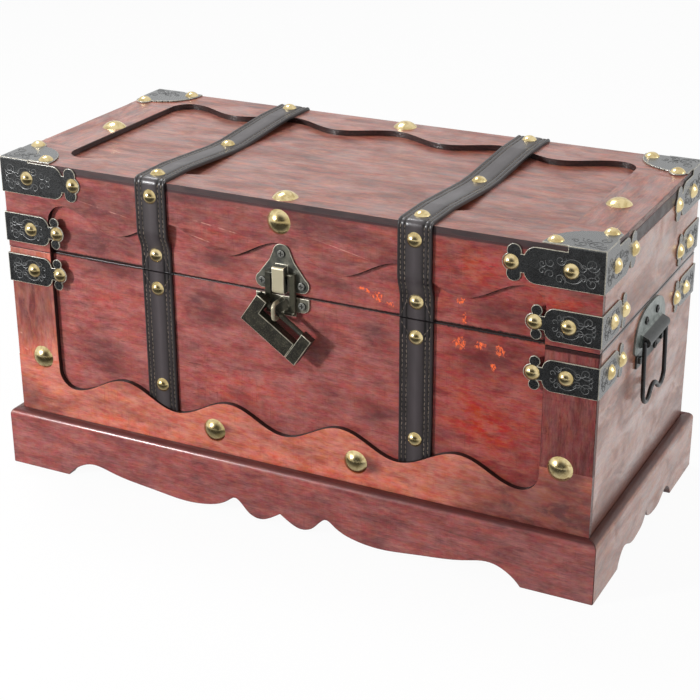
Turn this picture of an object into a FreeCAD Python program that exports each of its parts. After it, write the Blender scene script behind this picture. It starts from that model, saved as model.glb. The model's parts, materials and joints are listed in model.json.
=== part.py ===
"""Sea chest: a lidded wooden box with straps, metal corners, a hasp with a padlock and two bail handles.

Sizes are in mm. The front faces -Y, +X is right, +Z is up and the feet stand on Z = 0.
"""
import FreeCAD
import Part

import math
import os

# Driving sizes of the carcass
LENGTH = 380.0
DEPTH = 175.0
HEIGHT = 203.5
SEAM_GAP = 0.3
WALL = 8.0
TOP_PANEL = 8.0
BOTTOM_PANEL = 6.0
BOX_UNDERSIDE = 16.0
OVERLAY = 3.5

# Driving sizes of the overlay frames and their wavy edges
FRAME_WIDTH = 30.5
WAVE_COUNT = 2
WAVE_END = 11.5
WAVE_DEPTH = 6.5
WAVE_CORNER = 12.0
BOX_RAIL_MID = 64.5
LID_RAIL_DROP = 31.5
TOP_RAIL_WIDTH = 27.0
JOINT_RISE = 5.0

# Driving sizes of the plinth
PLINTH_HEIGHT = 38.0
PLINTH_OUT = 6.5
PLINTH_ROUND = 4.0
FOOT_LENGTH = 43.0

# Driving sizes of the straps
STRAP_IN = 106.0
STRAP_WIDTH = 20.5
STRAP_THICK = 2.2
STRAP_BACK_DROP = 30.0
STRAP_SEAM_EDGE = 1.0
STRAP_REST = 7.0

# Driving sizes of the corner metalwork
PLATE = 1.0
CAP_EDGE = 2.4
CAP_ARM_HEIGHT = 20.7
CAP_REACH = 51.0
CAP_END_REACH = 47.0
CAP_BEND = 20.0
CAP_LOBE = 4.2
CAP_LOBE_RISE = 6.3
LEAF_LONG = 34.5
LEAF_SHORT = 29.0
LEAF_TACK_EDGE = 5.6
ANGLE_HEIGHT = 18.6
ANGLE_REACH = 36.8
ANGLE_TACK = 17.8
ANGLE_LOBE = 3.2
ANGLE_LOBE_RISE = 6.8
LID_ANGLE_EDGE = 2.8
BOX_ANGLE_EDGE = 7.5
LID_PLATE_GAP = 11.7
NAIL_RIM = 0.6

# How much higher the plates of the front left corner are nailed on than those of the other corners
CAP_LEFT_LIFT = 2.0
LID_ANGLE_LEFT_LIFT = 1.0
BOX_ANGLE_LEFT_LIFT = 3.8

# Driving sizes of the domed nails
TACK_R = 4.5
TACK_RISE = 2.6
STUD_R = 7.5
STUD_RISE = 3.6
SCREW_R = 2.3
SCREW_RISE = 1.0

# Driving places of the nails, from the edges that they follow
STRAP_TACK_TOP = 9.0
STRAP_TACK_RAIL = 14.5
STRAP_TACK_EDGE = 3.5
STRAP_TACK_TAIL = 8.0
STRAP_TACK_SEAM = 10.5
STRAP_TACK_FOOT = 9.5
STUD_EDGE = 0.8
STUD_RIGHT_IN = 19.0
STUD_RIGHT_Y = -9.0
STUD_LEFT_IN = 23.0
STUD_LEFT_Y = -1.6
STUD_LID_DROP = 12.2
STUD_STILE_IN = 18.6
STUD_STILE_RISE = 11.5
STUD_RAIL_DROP = 12.7

# Driving sizes of the hinges
HINGE_IN = 72.0
HINGE_WIDTH = 28.0
HINGE_LEAF = 18.0
HINGE_SHEET = 1.4
KNUCKLE_R = 2.8
HINGE_PIN_R = 1.2
STOP_REACH = 10.0
STOP_SPREAD = 50.0

# Driving sizes of the hasp and the padlock
HASP_SHEET = 1.2
HASP_WIDTH = 34.5
HASP_TALL = 28.0
HASP_EDGE = 2.2
HASP_CORNER = 4.6
HASP_TOP = 5.7
BLOCK_WIDTH = 7.6
BLOCK_TALL = 16.0
BLOCK_OUT = 6.4
BLOCK_EDGE = 1.9
BLOCK_ROUND = 1.6
LINK_R = 1.25
LINK_HALF = 7.8
LINK_DROP = 23.0
LINK_GAP = 2.6
LINK_CLEAR = 0.55
STAPLE_R = 1.2
STAPLE_HALF = 4.7
STAPLE_OUT = 12.2
STAPLE_DROP = 7.2
STAPLE_BEND = 2.6
STAPLE_EDGE = 0.5
STAPLE_TALL = 11.9
STAPLE_WING = 4.4
STAPLE_TONGUE = 8.6
PAD_LONG = 41.5
PAD_TALL = 19.8
PAD_THICK = 6.0
PAD_END = 7.4
PAD_BODY_TALL = 11.0
PAD_RIM = 0.2
PAD_TILT = 34.2
PAD_WEIGHT_UP = 0.41
PAD_WEIGHT_ALONG = 0.5
SHACKLE_R = 1.5
GUIDE_R = 1.2
GUIDE_LONG = 30.0

# Driving sizes of the end handles
HANDLE_PLATE_WIDE = 56.0
HANDLE_PLATE_TALL = 33.0
HANDLE_PLATE = 1.2
HANDLE_SCREW_Y = 10.0
HANDLE_SCREW_UP = 10.0
HANDLE_SCREW_DOWN = 12.0
HANDLE_STOP_DROP = 10.0
HANDLE_STOP_HALF = 1.8
BARREL_R = 3.0
BARREL_LONG = 37.2
BARREL_DROP = 19.0
BAIL_WIRE_R = 1.3
BAIL_DROP = 39.0
BAIL_GRIP = 7.0
BAIL_LOBE_R = 7.6
BAIL_CUSP = 6.0
BAIL_REST = 1.5

# Clearances
RUN_FIT = 0.06
SIDE_GAP = 0.3

# Planes and places that follow from the sizes above
HALF = LENGTH / 2
FRONT = -DEPTH / 2
BACK = DEPTH / 2
PANEL_FRONT = FRONT + OVERLAY
LID_TALL = SEAM_GAP + LID_ANGLE_EDGE + ANGLE_HEIGHT + LID_PLATE_GAP + CAP_ARM_HEIGHT + CAP_EDGE
SEAM_Z = HEIGHT - LID_TALL
TOP_SKIN = HEIGHT - OVERLAY
LID_UNDER_TOP = TOP_SKIN - TOP_PANEL
LID_LOW = SEAM_Z + SEAM_GAP
INNER_X = HALF - WALL
FRAME_X = HALF - FRAME_WIDTH
STRAP_X = HALF - STRAP_IN
HINGE_X = HALF - HINGE_IN
WAVE_PITCH = (FRAME_X - WAVE_END) / WAVE_COUNT
X_AXIS = FreeCAD.Vector(1, 0, 0)
Y_AXIS = FreeCAD.Vector(0, 1, 0)
Z_AXIS = FreeCAD.Vector(0, 0, 1)
ORIGIN = FreeCAD.Vector(0, 0, 0)


def vec(x, y, z):
    """A point or direction."""
    return FreeCAD.Vector(x, y, z)


def slab(x0, x1, y0, y1, z0, z1):
    """A box between three pairs of planes."""
    return Part.makeBox(x1 - x0, y1 - y0, z1 - z0, vec(x0, y0, z0))


def prism(points, along):
    """A straight-sided outline pushed along a direction."""
    closed = list(points) + [points[0]]
    return Part.Face(Part.makePolygon(closed)).extrude(along)


def rod(radius, start, end):
    """A round bar between two points."""
    run = end - start
    return Part.makeCylinder(radius, run.Length, start, run)


def joined(shapes):
    """One solid made of several that touch or overlap."""
    whole = shapes[0]
    if len(shapes) > 1:
        whole = whole.multiFuse(shapes[1:])
    return whole.removeSplitter()


def smooth(points):
    """A smooth curve through points."""
    curve = Part.BSplineCurve()
    curve.interpolate(points)
    return curve.toShape()


def outline_face(curve_points, line_points):
    """A face bounded by one smooth curve and then by straight lines back to its start."""
    corners = [curve_points[-1]] + list(line_points) + [curve_points[0]]
    edges = [smooth(curve_points)]
    for first, second in zip(corners[:-1], corners[1:]):
        edges.append(Part.makeLine(first, second))
    return Part.Face(Part.Wire(edges))


def across(shape):
    """The same shape on the other side, left for right."""
    return shape.mirror(ORIGIN, X_AXIS)


def front_to_back(shape):
    """The same shape on the other side, front for back."""
    return shape.mirror(ORIGIN, Y_AXIS)


def rounded(shape, radius, wanted):
    """The shape with the edges that the test picks out rounded."""
    edges = [edge for edge in shape.Edges if wanted(edge.CenterOfMass, edge)]
    return shape.makeFillet(radius, edges)


def wave_offset(x):
    """How far the wavy edge swells out of its middle line: least at the centre and near the straps."""
    return -WAVE_DEPTH * math.cos(2 * math.pi * x / WAVE_PITCH)


def wave_line():
    """Pairs of x and swell for a frame's wavy inner edge, with a rounded corner at each end."""
    last = WAVE_COUNT * WAVE_PITCH
    steps = 32 * WAVE_COUNT
    pairs = []
    for i in range(steps + 1):
        x = -last + 2 * last * i / steps
        pairs.append((x, wave_offset(x)))
    corner = []
    for i in range(1, 7):
        turn = math.radians(15 * i)
        x = last + (FRAME_X - last) * math.sin(turn)
        corner.append((x, -WAVE_DEPTH + WAVE_CORNER * (1 - math.cos(turn))))
    left = [(-x, swell) for x, swell in reversed(corner)]
    return left + pairs + corner


def box_carcass():
    """The bottom and the four walls of the box."""
    low = BOX_UNDERSIDE
    return {
        "box_bottom": slab(-INNER_X, INNER_X, PANEL_FRONT + WALL, BACK - WALL, low, low + BOTTOM_PANEL),
        "box_front": slab(-INNER_X, INNER_X, PANEL_FRONT, PANEL_FRONT + WALL, low, SEAM_Z),
        "box_back": slab(-INNER_X, INNER_X, BACK - WALL, BACK, low, SEAM_Z),
        "box_end_left": slab(-HALF, -INNER_X, PANEL_FRONT, BACK, low, SEAM_Z),
        "box_end_right": slab(INNER_X, HALF, PANEL_FRONT, BACK, low, SEAM_Z),
    }


def box_joint_z():
    """Height of the joints between the box's bottom rail and its stiles."""
    return BOX_RAIL_MID - WAVE_DEPTH + WAVE_CORNER + JOINT_RISE


def box_rail():
    """The wavy bottom rail on the front of the box."""
    joint_z = box_joint_z()
    curve = [vec(x, FRONT, BOX_RAIL_MID + swell) for x, swell in wave_line()]
    lines = [
        vec(FRAME_X, FRONT, joint_z),
        vec(HALF, FRONT, joint_z),
        vec(HALF, FRONT, BOX_UNDERSIDE),
        vec(-HALF, FRONT, BOX_UNDERSIDE),
        vec(-HALF, FRONT, joint_z),
        vec(-FRAME_X, FRONT, joint_z),
    ]
    return outline_face(curve, lines).extrude(vec(0, OVERLAY, 0))


def box_overlay():
    """The wavy bottom rail and the two stiles on the front of the box."""
    stile = slab(FRAME_X, HALF, FRONT, PANEL_FRONT, box_joint_z(), SEAM_Z)
    return {
        "box_rail": box_rail(),
        "box_stile_right": stile,
        "box_stile_left": across(stile),
    }


def lid_carcass():
    """The top panel and the four walls of the lid."""
    return {
        "lid_top": slab(-HALF, HALF, PANEL_FRONT, BACK, LID_UNDER_TOP, TOP_SKIN),
        "lid_front": slab(-INNER_X, INNER_X, PANEL_FRONT, PANEL_FRONT + WALL, LID_LOW, LID_UNDER_TOP),
        "lid_back": slab(-INNER_X, INNER_X, BACK - WALL, BACK, LID_LOW, LID_UNDER_TOP),
        "lid_end_left": slab(-HALF, -INNER_X, PANEL_FRONT, BACK, LID_LOW, LID_UNDER_TOP),
        "lid_end_right": slab(INNER_X, HALF, PANEL_FRONT, BACK, LID_LOW, LID_UNDER_TOP),
    }


def lid_overlay():
    """The wavy frame on the lid's front and the four rails on its top."""
    rail_mid = HEIGHT - LID_RAIL_DROP
    curve = [vec(x, FRONT, rail_mid - swell) for x, swell in wave_line()]
    lines = [
        vec(FRAME_X, FRONT, LID_LOW),
        vec(HALF, FRONT, LID_LOW),
        vec(HALF, FRONT, TOP_SKIN),
        vec(-HALF, FRONT, TOP_SKIN),
        vec(-HALF, FRONT, LID_LOW),
        vec(-FRAME_X, FRONT, LID_LOW),
    ]
    frame = outline_face(curve, lines).extrude(vec(0, OVERLAY, 0))
    joint_y = FRONT + TOP_RAIL_WIDTH - WAVE_DEPTH + WAVE_CORNER + JOINT_RISE
    top_curve = [vec(x, FRONT + TOP_RAIL_WIDTH + swell, TOP_SKIN) for x, swell in wave_line()]
    top_lines = [
        vec(FRAME_X, joint_y, TOP_SKIN),
        vec(HALF, joint_y, TOP_SKIN),
        vec(HALF, FRONT, TOP_SKIN),
        vec(-HALF, FRONT, TOP_SKIN),
        vec(-HALF, joint_y, TOP_SKIN),
        vec(-FRAME_X, joint_y, TOP_SKIN),
    ]
    rail = outline_face(top_curve, top_lines).extrude(vec(0, 0, OVERLAY))
    end = slab(FRAME_X, HALF, joint_y, -joint_y, TOP_SKIN, HEIGHT)
    return {
        "lid_front_frame": frame,
        "top_rail_front": rail,
        "top_rail_back": front_to_back(rail),
        "top_rail_right": end,
        "top_rail_left": across(end),
    }


def plinth_board(half_length, half_depth, half_profile):
    """A plinth board along X on the front, scalloped below, rounded above and mitred at both ends."""
    outer = half_depth + PLINTH_OUT
    end = half_length + PLINTH_OUT
    curve = [vec(-x, -outer, z) for x, z in reversed(half_profile)]
    curve += [vec(x, -outer, z) for x, z in half_profile[1:]]
    foot = half_profile[-1][0]
    lines = [
        vec(foot, -outer, 0),
        vec(end, -outer, 0),
        vec(end, -outer, PLINTH_HEIGHT),
        vec(-end, -outer, PLINTH_HEIGHT),
        vec(-end, -outer, 0),
        vec(-foot, -outer, 0),
    ]
    corners = [curve[-1]] + lines[1:-1] + [curve[0]]
    edges = []
    middle = len(half_profile) - 1
    for part in (curve[: middle + 1], curve[middle:]):
        edges.append(smooth(part))
    for first, second in zip(corners[:-1], corners[1:]):
        edges.append(Part.makeLine(first, second))
    board = Part.Face(Part.Wire(edges)).extrude(vec(0, PLINTH_OUT, 0))
    top_edge = lambda c, e: abs(c.z - PLINTH_HEIGHT) < 1e-6 and abs(c.y + outer) < 1e-6
    board = rounded(board, PLINTH_ROUND, top_edge)
    plan = [
        vec(-end, -outer, 0),
        vec(end, -outer, 0),
        vec(half_length, -half_depth, 0),
        vec(-half_length, -half_depth, 0),
    ]
    return board.common(prism(plan, vec(0, 0, PLINTH_HEIGHT)))


def plinth():
    """The four plinth boards, glued round the foot of the box."""
    foot = HALF + PLINTH_OUT - FOOT_LENGTH
    rise = BOX_UNDERSIDE / 16.0
    front_profile = [
        (0.0, 9.0 * rise),
        (foot * 0.045, 4.6 * rise),
        (foot * 0.09, 2.2 * rise),
        (foot * 0.135, 4.0 * rise),
        (foot * 0.175, 10.0 * rise),
        (foot * 0.20, 12.5 * rise),
        (foot * 0.235, 9.5 * rise),
        (foot * 0.32, 3.8 * rise),
        (foot * 0.42, 2.0 * rise),
        (foot * 0.58, 4.2 * rise),
        (foot * 0.78, 8.6 * rise),
        (foot * 0.88, 11.2 * rise),
        (foot * 0.945, 7.6 * rise),
        (foot, 0.0),
    ]
    side_foot = -FRONT + PLINTH_OUT - FOOT_LENGTH
    side_profile = [
        (0.0, 13.0 * rise),
        (side_foot * 0.09, 7.6 * rise),
        (side_foot * 0.28, 5.0 * rise),
        (side_foot * 0.56, 5.6 * rise),
        (side_foot * 0.80, 9.6 * rise),
        (side_foot * 0.92, 6.4 * rise),
        (side_foot, 0.0),
    ]
    front = plinth_board(HALF, -FRONT, front_profile)
    right = plinth_board(-FRONT, HALF, side_profile)
    right.rotate(ORIGIN, Z_AXIS, 90)
    return {
        "plinth_front": front,
        "plinth_back": front_to_back(front),
        "plinth_right": right,
        "plinth_left": across(right),
    }


def arm(corner, along, out, height, reach, lobe, lobe_rise):
    """A sheet arm from a corner, with round shoulders, a neck and a trefoil tip round the last nail."""
    half = height / 2
    neck_half = lobe * 1.25
    shoulder = reach - lobe * 3.45
    neck = reach - lobe * 1.75
    push = out * PLATE

    def at(s, t):
        return corner + along * s + Z_AXIS * t

    def round_shoulder(side):
        bulge = at(shoulder + (neck - shoulder) * 0.68, side * (half - (half - neck_half) * 0.32))
        return Part.Arc(at(shoulder, side * half), bulge, at(neck, side * neck_half)).toShape()

    outline = [
        Part.makeLine(at(-PLATE, half), at(shoulder, half)),
        round_shoulder(1),
        Part.makeLine(at(neck, neck_half), at(reach, neck_half)),
        Part.makeLine(at(reach, neck_half), at(reach, -neck_half)),
        Part.makeLine(at(reach, -neck_half), at(neck, -neck_half)),
        round_shoulder(-1),
        Part.makeLine(at(shoulder, -half), at(-PLATE, -half)),
        Part.makeLine(at(-PLATE, -half), at(-PLATE, half)),
    ]
    plate = Part.Face(Part.Wire(outline)).extrude(push)
    trefoil = [Part.makeCylinder(TACK_R + NAIL_RIM, PLATE, at(reach, 0), out)]
    for level in (lobe_rise, -lobe_rise):
        trefoil.append(Part.makeCylinder(lobe, PLATE, at(reach - lobe * 0.4, level), out))
    return [plate] + trefoil


def corner_angle(middle_z):
    """A right-hand front angle plate bent round the vertical corner."""
    corner = vec(HALF, FRONT, middle_z)
    pieces = []
    for along, out in ((-X_AXIS, -Y_AXIS), (Y_AXIS, X_AXIS)):
        pieces += arm(corner, along, out, ANGLE_HEIGHT, ANGLE_REACH, ANGLE_LOBE, ANGLE_LOBE_RISE)
    return joined(pieces)


def cap_z():
    """Height of the middle of the cap's arms."""
    return HEIGHT - CAP_EDGE - CAP_ARM_HEIGHT / 2


def corner_cap(lift):
    """A right-hand front cap: two arms and a leaf-shaped plate on the top, bent over near the corner."""
    corner = vec(HALF, FRONT, cap_z() + lift)
    pieces = arm(corner, -X_AXIS, -Y_AXIS, CAP_ARM_HEIGHT, CAP_REACH, CAP_LOBE, CAP_LOBE_RISE)
    pieces += arm(corner, Y_AXIS, X_AXIS, CAP_ARM_HEIGHT, CAP_END_REACH, CAP_LOBE, CAP_LOBE_RISE)
    low = HEIGHT - CAP_EDGE * 2
    high = HEIGHT + PLATE
    pieces.append(slab(HALF - CAP_BEND, HALF + PLATE, FRONT - PLATE, FRONT, low, high))
    pieces.append(slab(HALF, HALF + PLATE, FRONT - PLATE, FRONT + CAP_BEND, low, high))
    bulge = 0.87
    steps = 12
    rim = []
    for i in range(steps + 1):
        turn = math.pi / 2 * i / steps
        long_in = LEAF_LONG * abs(math.cos(turn)) ** bulge
        short_in = LEAF_SHORT * math.sin(turn) ** bulge
        rim.append(vec(HALF - long_in, FRONT + short_in, HEIGHT))
    rim[-1] = vec(HALF, FRONT + LEAF_SHORT, HEIGHT)
    pieces.append(outline_face(rim, [vec(HALF, FRONT, HEIGHT)]).extrude(vec(0, 0, PLATE)))
    for x, y in cap_leaf_tacks():
        pieces.append(Part.makeCylinder(TACK_R + NAIL_RIM, PLATE, vec(x, y, HEIGHT), Z_AXIS))
    return joined(pieces)


def cap_leaf_tacks():
    """Where the two nails of a right-hand front cap's leaf stand."""
    rim = TACK_R + NAIL_RIM
    return [
        (HALF - LEAF_LONG + LEAF_TACK_EDGE, FRONT + rim),
        (HALF - LEAF_TACK_EDGE - NAIL_RIM, FRONT + LEAF_SHORT - NAIL_RIM),
    ]


def four_corners(name, shape, left_shape):
    """A right-hand front corner piece and its mirrored copies; the front left one has its own shape."""
    back = front_to_back(shape)
    return {
        name + "_fr": shape,
        name + "_fl": across(left_shape),
        name + "_br": back,
        name + "_bl": across(back),
    }


def lid_angle_z():
    """Height of the middle of the lid's corner angles."""
    return LID_LOW + LID_ANGLE_EDGE + ANGLE_HEIGHT / 2


def box_angle_z():
    """Height of the middle of the box's corner angles."""
    return SEAM_Z - BOX_ANGLE_EDGE - ANGLE_HEIGHT / 2


def strap_swell():
    """The most that the wavy edge swells out anywhere under a strap."""
    steps = 20
    start = STRAP_X - STRAP_WIDTH / 2
    return max(wave_offset(start + STRAP_WIDTH * i / steps) for i in range(steps + 1)) + SIDE_GAP


def strap_path():
    """The inner face of a lid strap as pairs of y and z, from its front end over the top to its back end."""
    swell = strap_swell()
    rail_edge = HEIGHT - LID_RAIL_DROP - swell
    top_edge = FRONT + TOP_RAIL_WIDTH + swell
    return [
        (PANEL_FRONT, LID_LOW + STRAP_SEAM_EDGE),
        (PANEL_FRONT, rail_edge - OVERLAY * 2),
        (FRONT, rail_edge),
        (FRONT, HEIGHT),
        (top_edge, HEIGHT),
        (-STRAP_REST, TOP_SKIN),
        (STRAP_REST, TOP_SKIN),
        (-top_edge, HEIGHT),
        (BACK, HEIGHT),
        (BACK, HEIGHT - STRAP_BACK_DROP),
    ]


def offset_path(path, distance):
    """The path moved sideways by a distance, to the left of its run."""
    moved = []
    for i, (y, z) in enumerate(path):
        normals = []
        for first, second in ((i - 1, i), (i, i + 1)):
            if first < 0 or second >= len(path):
                continue
            dy = path[second][0] - path[first][0]
            dz = path[second][1] - path[first][1]
            size = math.hypot(dy, dz)
            normals.append((-dz / size, dy / size))
        ny = sum(n[0] for n in normals) / len(normals)
        nz = sum(n[1] for n in normals) / len(normals)
        scale = distance / (ny * ny + nz * nz)
        moved.append((y + ny * scale, z + nz * scale))
    return moved


def lid_strap():
    """The right strap over the lid."""
    inner = strap_path()
    outer = offset_path(inner, STRAP_THICK)
    start = STRAP_X - STRAP_WIDTH / 2
    points = [vec(start, y, z) for y, z in inner + list(reversed(outer))]
    strap = prism(points, vec(STRAP_WIDTH, 0, 0))
    turn = STRAP_THICK * 0.8

    def at_bend(c, e):
        across_strap = e.BoundBox.XLength > STRAP_WIDTH * 0.9
        high = c.z > HEIGHT + STRAP_THICK * 0.5
        outside = abs(c.y) > BACK + STRAP_THICK * 0.5
        return across_strap and high and outside

    return rounded(strap, turn, at_bend)


def box_strap():
    """The right lower strap on the box front, from under the seam to the wavy rail."""
    rail = box_rail()
    rail.translate(vec(0, 0, SIDE_GAP))
    strap = slab(
        STRAP_X - STRAP_WIDTH / 2,
        STRAP_X + STRAP_WIDTH / 2,
        PANEL_FRONT - STRAP_THICK,
        PANEL_FRONT,
        BOX_RAIL_MID - WAVE_DEPTH,
        SEAM_Z - STRAP_SEAM_EDGE,
    )
    return strap.cut(rail)


def dome(radius, rise, place, out):
    """A domed nail head that sits on a face."""
    ball = (radius * radius + rise * rise) / (2 * rise)
    rim = math.asin(min(1.0, radius / ball)) / 2
    middle = vec(ball * math.sin(rim), 0, rise - ball + ball * math.cos(rim))
    arc = Part.Arc(vec(radius, 0, 0), middle, vec(0, 0, rise)).toShape()
    base = Part.makeLine(ORIGIN, vec(radius, 0, 0))
    spine = Part.makeLine(vec(0, 0, rise), ORIGIN)
    head = Part.Face(Part.Wire([base, arc, spine])).revolve(ORIGIN, Z_AXIS, 360)
    head = Part.Solid(head.Shells[0]) if head.ShapeType != "Solid" else head
    head.Placement = FreeCAD.Placement(place, FreeCAD.Rotation(Z_AXIS, out))
    return head


def screw(place, out):
    """A low round screw head with a crossed drive recess."""
    head = Part.makeCylinder(SCREW_R, SCREW_RISE, ORIGIN, Z_AXIS)
    rim = lambda c, e: abs(c.z - SCREW_RISE) < 1e-6 and e.Closed
    head = rounded(head, SCREW_RISE * 0.45, rim)
    reach = SCREW_R * 0.62
    half = SCREW_R * 0.14
    deep = SCREW_RISE * 0.55
    head = head.cut(slab(-reach, reach, -half, half, deep, SCREW_RISE * 2))
    head = head.cut(slab(-half, half, -reach, reach, deep, SCREW_RISE * 2))
    head.Placement = FreeCAD.Placement(place, FreeCAD.Rotation(Z_AXIS, out))
    return head


def arm_nails(corner_z, front_reach, end_reach):
    """Places and directions of the nails of one right-hand front corner's two arms."""
    face = PLATE
    return [
        (vec(HALF - ANGLE_TACK, FRONT - face, corner_z), -Y_AXIS),
        (vec(HALF - front_reach, FRONT - face, corner_z), -Y_AXIS),
        (vec(HALF + face, FRONT + ANGLE_TACK, corner_z), X_AXIS),
        (vec(HALF + face, FRONT + end_reach, corner_z), X_AXIS),
    ]


def at_four_corners(nails, left_lift):
    """Each nail at the four mirrored corners, lifted at the front left one."""
    spread = []
    for place, out in nails:
        for sx, sy, lift in ((1, 1, 0), (-1, 1, left_lift), (1, -1, 0), (-1, -1, 0)):
            spot = vec(place.x * sx, place.y * sy, place.z + lift)
            spread.append((spot, vec(out.x * sx, out.y * sy, out.z)))
    return spread


def both_straps(nails):
    """Each nail on the right strap and on the left strap."""
    return nails + [(vec(-place.x, place.y, place.z), out) for place, out in nails]


def lid_nails():
    """All small nails of the lid."""
    corner = at_four_corners(arm_nails(cap_z(), CAP_REACH, CAP_END_REACH), CAP_LEFT_LIFT)
    corner += at_four_corners(arm_nails(lid_angle_z(), ANGLE_REACH, ANGLE_REACH), LID_ANGLE_LEFT_LIFT)
    leaf = [(vec(x, y, HEIGHT + PLATE), Z_AXIS) for x, y in cap_leaf_tacks()]
    corner += at_four_corners(leaf, 0)
    rail_mid = HEIGHT - LID_RAIL_DROP
    top_in = TACK_R + STRAP_TACK_EDGE
    strap = [
        (vec(STRAP_X, FRONT - STRAP_THICK, HEIGHT - STRAP_TACK_TOP), -Y_AXIS),
        (vec(STRAP_X, PANEL_FRONT - STRAP_THICK, rail_mid - STRAP_TACK_RAIL), -Y_AXIS),
        (vec(STRAP_X, FRONT + top_in, HEIGHT + STRAP_THICK), Z_AXIS),
        (vec(STRAP_X, 0, TOP_SKIN + STRAP_THICK), Z_AXIS),
        (vec(STRAP_X, BACK - top_in, HEIGHT + STRAP_THICK), Z_AXIS),
        (vec(STRAP_X, BACK + STRAP_THICK, HEIGHT - STRAP_BACK_DROP + STRAP_TACK_TAIL), Y_AXIS),
    ]
    return corner + both_straps(strap)


def box_nails():
    """All small nails of the box."""
    corner = at_four_corners(arm_nails(box_angle_z(), ANGLE_REACH, ANGLE_REACH), BOX_ANGLE_LEFT_LIFT)
    strap = [
        (vec(STRAP_X, PANEL_FRONT - STRAP_THICK, SEAM_Z - STRAP_TACK_SEAM), -Y_AXIS),
        (vec(STRAP_X, PANEL_FRONT - STRAP_THICK, BOX_RAIL_MID + STRAP_TACK_FOOT), -Y_AXIS),
    ]
    return corner + both_straps(strap)


def lid_stud_places():
    """The five large studs of the lid: one on each top rail and one on the front."""
    inset = STUD_R + STUD_EDGE
    return [
        (vec(0, FRONT + inset, HEIGHT), Z_AXIS),
        (vec(0, BACK - inset, HEIGHT), Z_AXIS),
        (vec(HALF - STUD_RIGHT_IN, STUD_RIGHT_Y, HEIGHT), Z_AXIS),
        (vec(-HALF + STUD_LEFT_IN, STUD_LEFT_Y, HEIGHT), Z_AXIS),
        (vec(0, FRONT, HEIGHT - STUD_LID_DROP), -Y_AXIS),
    ]


def box_stud_places():
    """The four large studs on the box front."""
    stile_x = HALF - STUD_STILE_IN
    rail_x = WAVE_PITCH * 0.64
    stile_z = BOX_RAIL_MID + STUD_STILE_RISE
    rail_z = BOX_RAIL_MID - STUD_RAIL_DROP
    places = []
    for side in (1, -1):
        places.append((vec(side * stile_x, FRONT, stile_z), -Y_AXIS))
        places.append((vec(side * rail_x, FRONT, rail_z), -Y_AXIS))
    return places


def group(shapes):
    """Separate solids that share one node."""
    return Part.makeCompound(shapes)


def hinge_axis():
    """The y and z of the lid's hinge line."""
    return BACK + KNUCKLE_R + SIDE_GAP + 0.1, SEAM_Z


def stop_tail(turn, side, x0, x1, inner, outer):
    """A stop flange that leaves the hinge line at a turn above or below level, its stop face radial."""
    y0, z0 = hinge_axis()
    angle = math.radians(turn)
    ry, rz = math.cos(angle), math.sin(angle)
    ty, tz = -rz * side, ry * side
    spots = []
    for reach, away in ((inner, 0), (outer, 0), (outer, HINGE_SHEET), (inner, HINGE_SHEET)):
        spots.append(vec(x0, y0 + ry * reach + ty * away, z0 + rz * reach + tz * away))
    return prism(spots, vec(x1 - x0, 0, 0))


def hinge_leaves():
    """The right hinge's box leaf, lid leaf and pin."""
    y0, z0 = hinge_axis()
    x0 = HINGE_X - HINGE_WIDTH / 2
    x1 = HINGE_X + HINGE_WIDTH / 2
    third = HINGE_WIDTH * 0.29
    mid0 = x0 + third
    mid1 = x1 - third
    clear = KNUCKLE_R + SIDE_GAP
    bore = HINGE_PIN_R + RUN_FIT
    hole = rod(bore, vec(x0 - 1, y0, z0), vec(x1 + 1, y0, z0))
    sheet1 = BACK + HINGE_SHEET

    def knuckle(a, b):
        return rod(KNUCKLE_R, vec(a, y0, z0), vec(b, y0, z0))

    box_leaf = [slab(x0, x1, BACK, sheet1, z0 - HINGE_LEAF, z0 - clear)]
    for a, b in ((x0, mid0), (mid1, x1)):
        box_leaf.append(slab(a, b, BACK, sheet1, z0 - clear - 1, z0 - SIDE_GAP))
        box_leaf.append(slab(a, b, BACK, y0, z0 - KNUCKLE_R * 0.75, z0 - SIDE_GAP))
        box_leaf.append(knuckle(a, b))
        box_leaf.append(stop_tail(-STOP_SPREAD, -1, a, b, HINGE_PIN_R + 0.8, STOP_REACH))
    box_leaf.append(stop_tail(-STOP_SPREAD, -1, x0, x1, clear + 0.1, STOP_REACH))
    lid_leaf = [slab(x0, x1, BACK, sheet1, z0 + clear, z0 + HINGE_LEAF)]
    a, b = mid0 + SIDE_GAP, mid1 - SIDE_GAP
    lid_leaf.append(slab(a, b, BACK, sheet1, z0 + SIDE_GAP, z0 + clear + 1))
    lid_leaf.append(slab(a, b, BACK, y0, z0 + SIDE_GAP, z0 + KNUCKLE_R * 0.75))
    lid_leaf.append(knuckle(a, b))
    lid_leaf.append(stop_tail(STOP_SPREAD, 1, a, b, HINGE_PIN_R + 0.8, STOP_REACH))
    head = 0.8
    pin = joined([
        rod(HINGE_PIN_R, vec(x0 - head, y0, z0), vec(x1 + head, y0, z0)),
        rod(HINGE_PIN_R * 1.7, vec(x0 - head, y0, z0), vec(x0, y0, z0)),
        rod(HINGE_PIN_R * 1.7, vec(x1, y0, z0), vec(x1 + head, y0, z0)),
    ])
    return joined(box_leaf).cut(hole), joined(lid_leaf).cut(hole), pin


def hinge_screws(direction):
    """Screw places of both hinges, on the box leaves (-1) or on the lid leaves (1)."""
    z = hinge_axis()[1] + direction * HINGE_LEAF * 0.68
    places = []
    for x in (HINGE_X - HINGE_WIDTH * 0.3, HINGE_X + HINGE_WIDTH * 0.3):
        for side in (1, -1):
            places.append((vec(side * x, BACK + HINGE_SHEET, z), Y_AXIS))
    return places


def link_axis():
    """The y and z of the line that the hasp link swings on."""
    block_low = LID_LOW + BLOCK_EDGE
    return PANEL_FRONT - HASP_SHEET - LINK_R - LINK_CLEAR, block_low + BLOCK_TALL * 0.68


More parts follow.
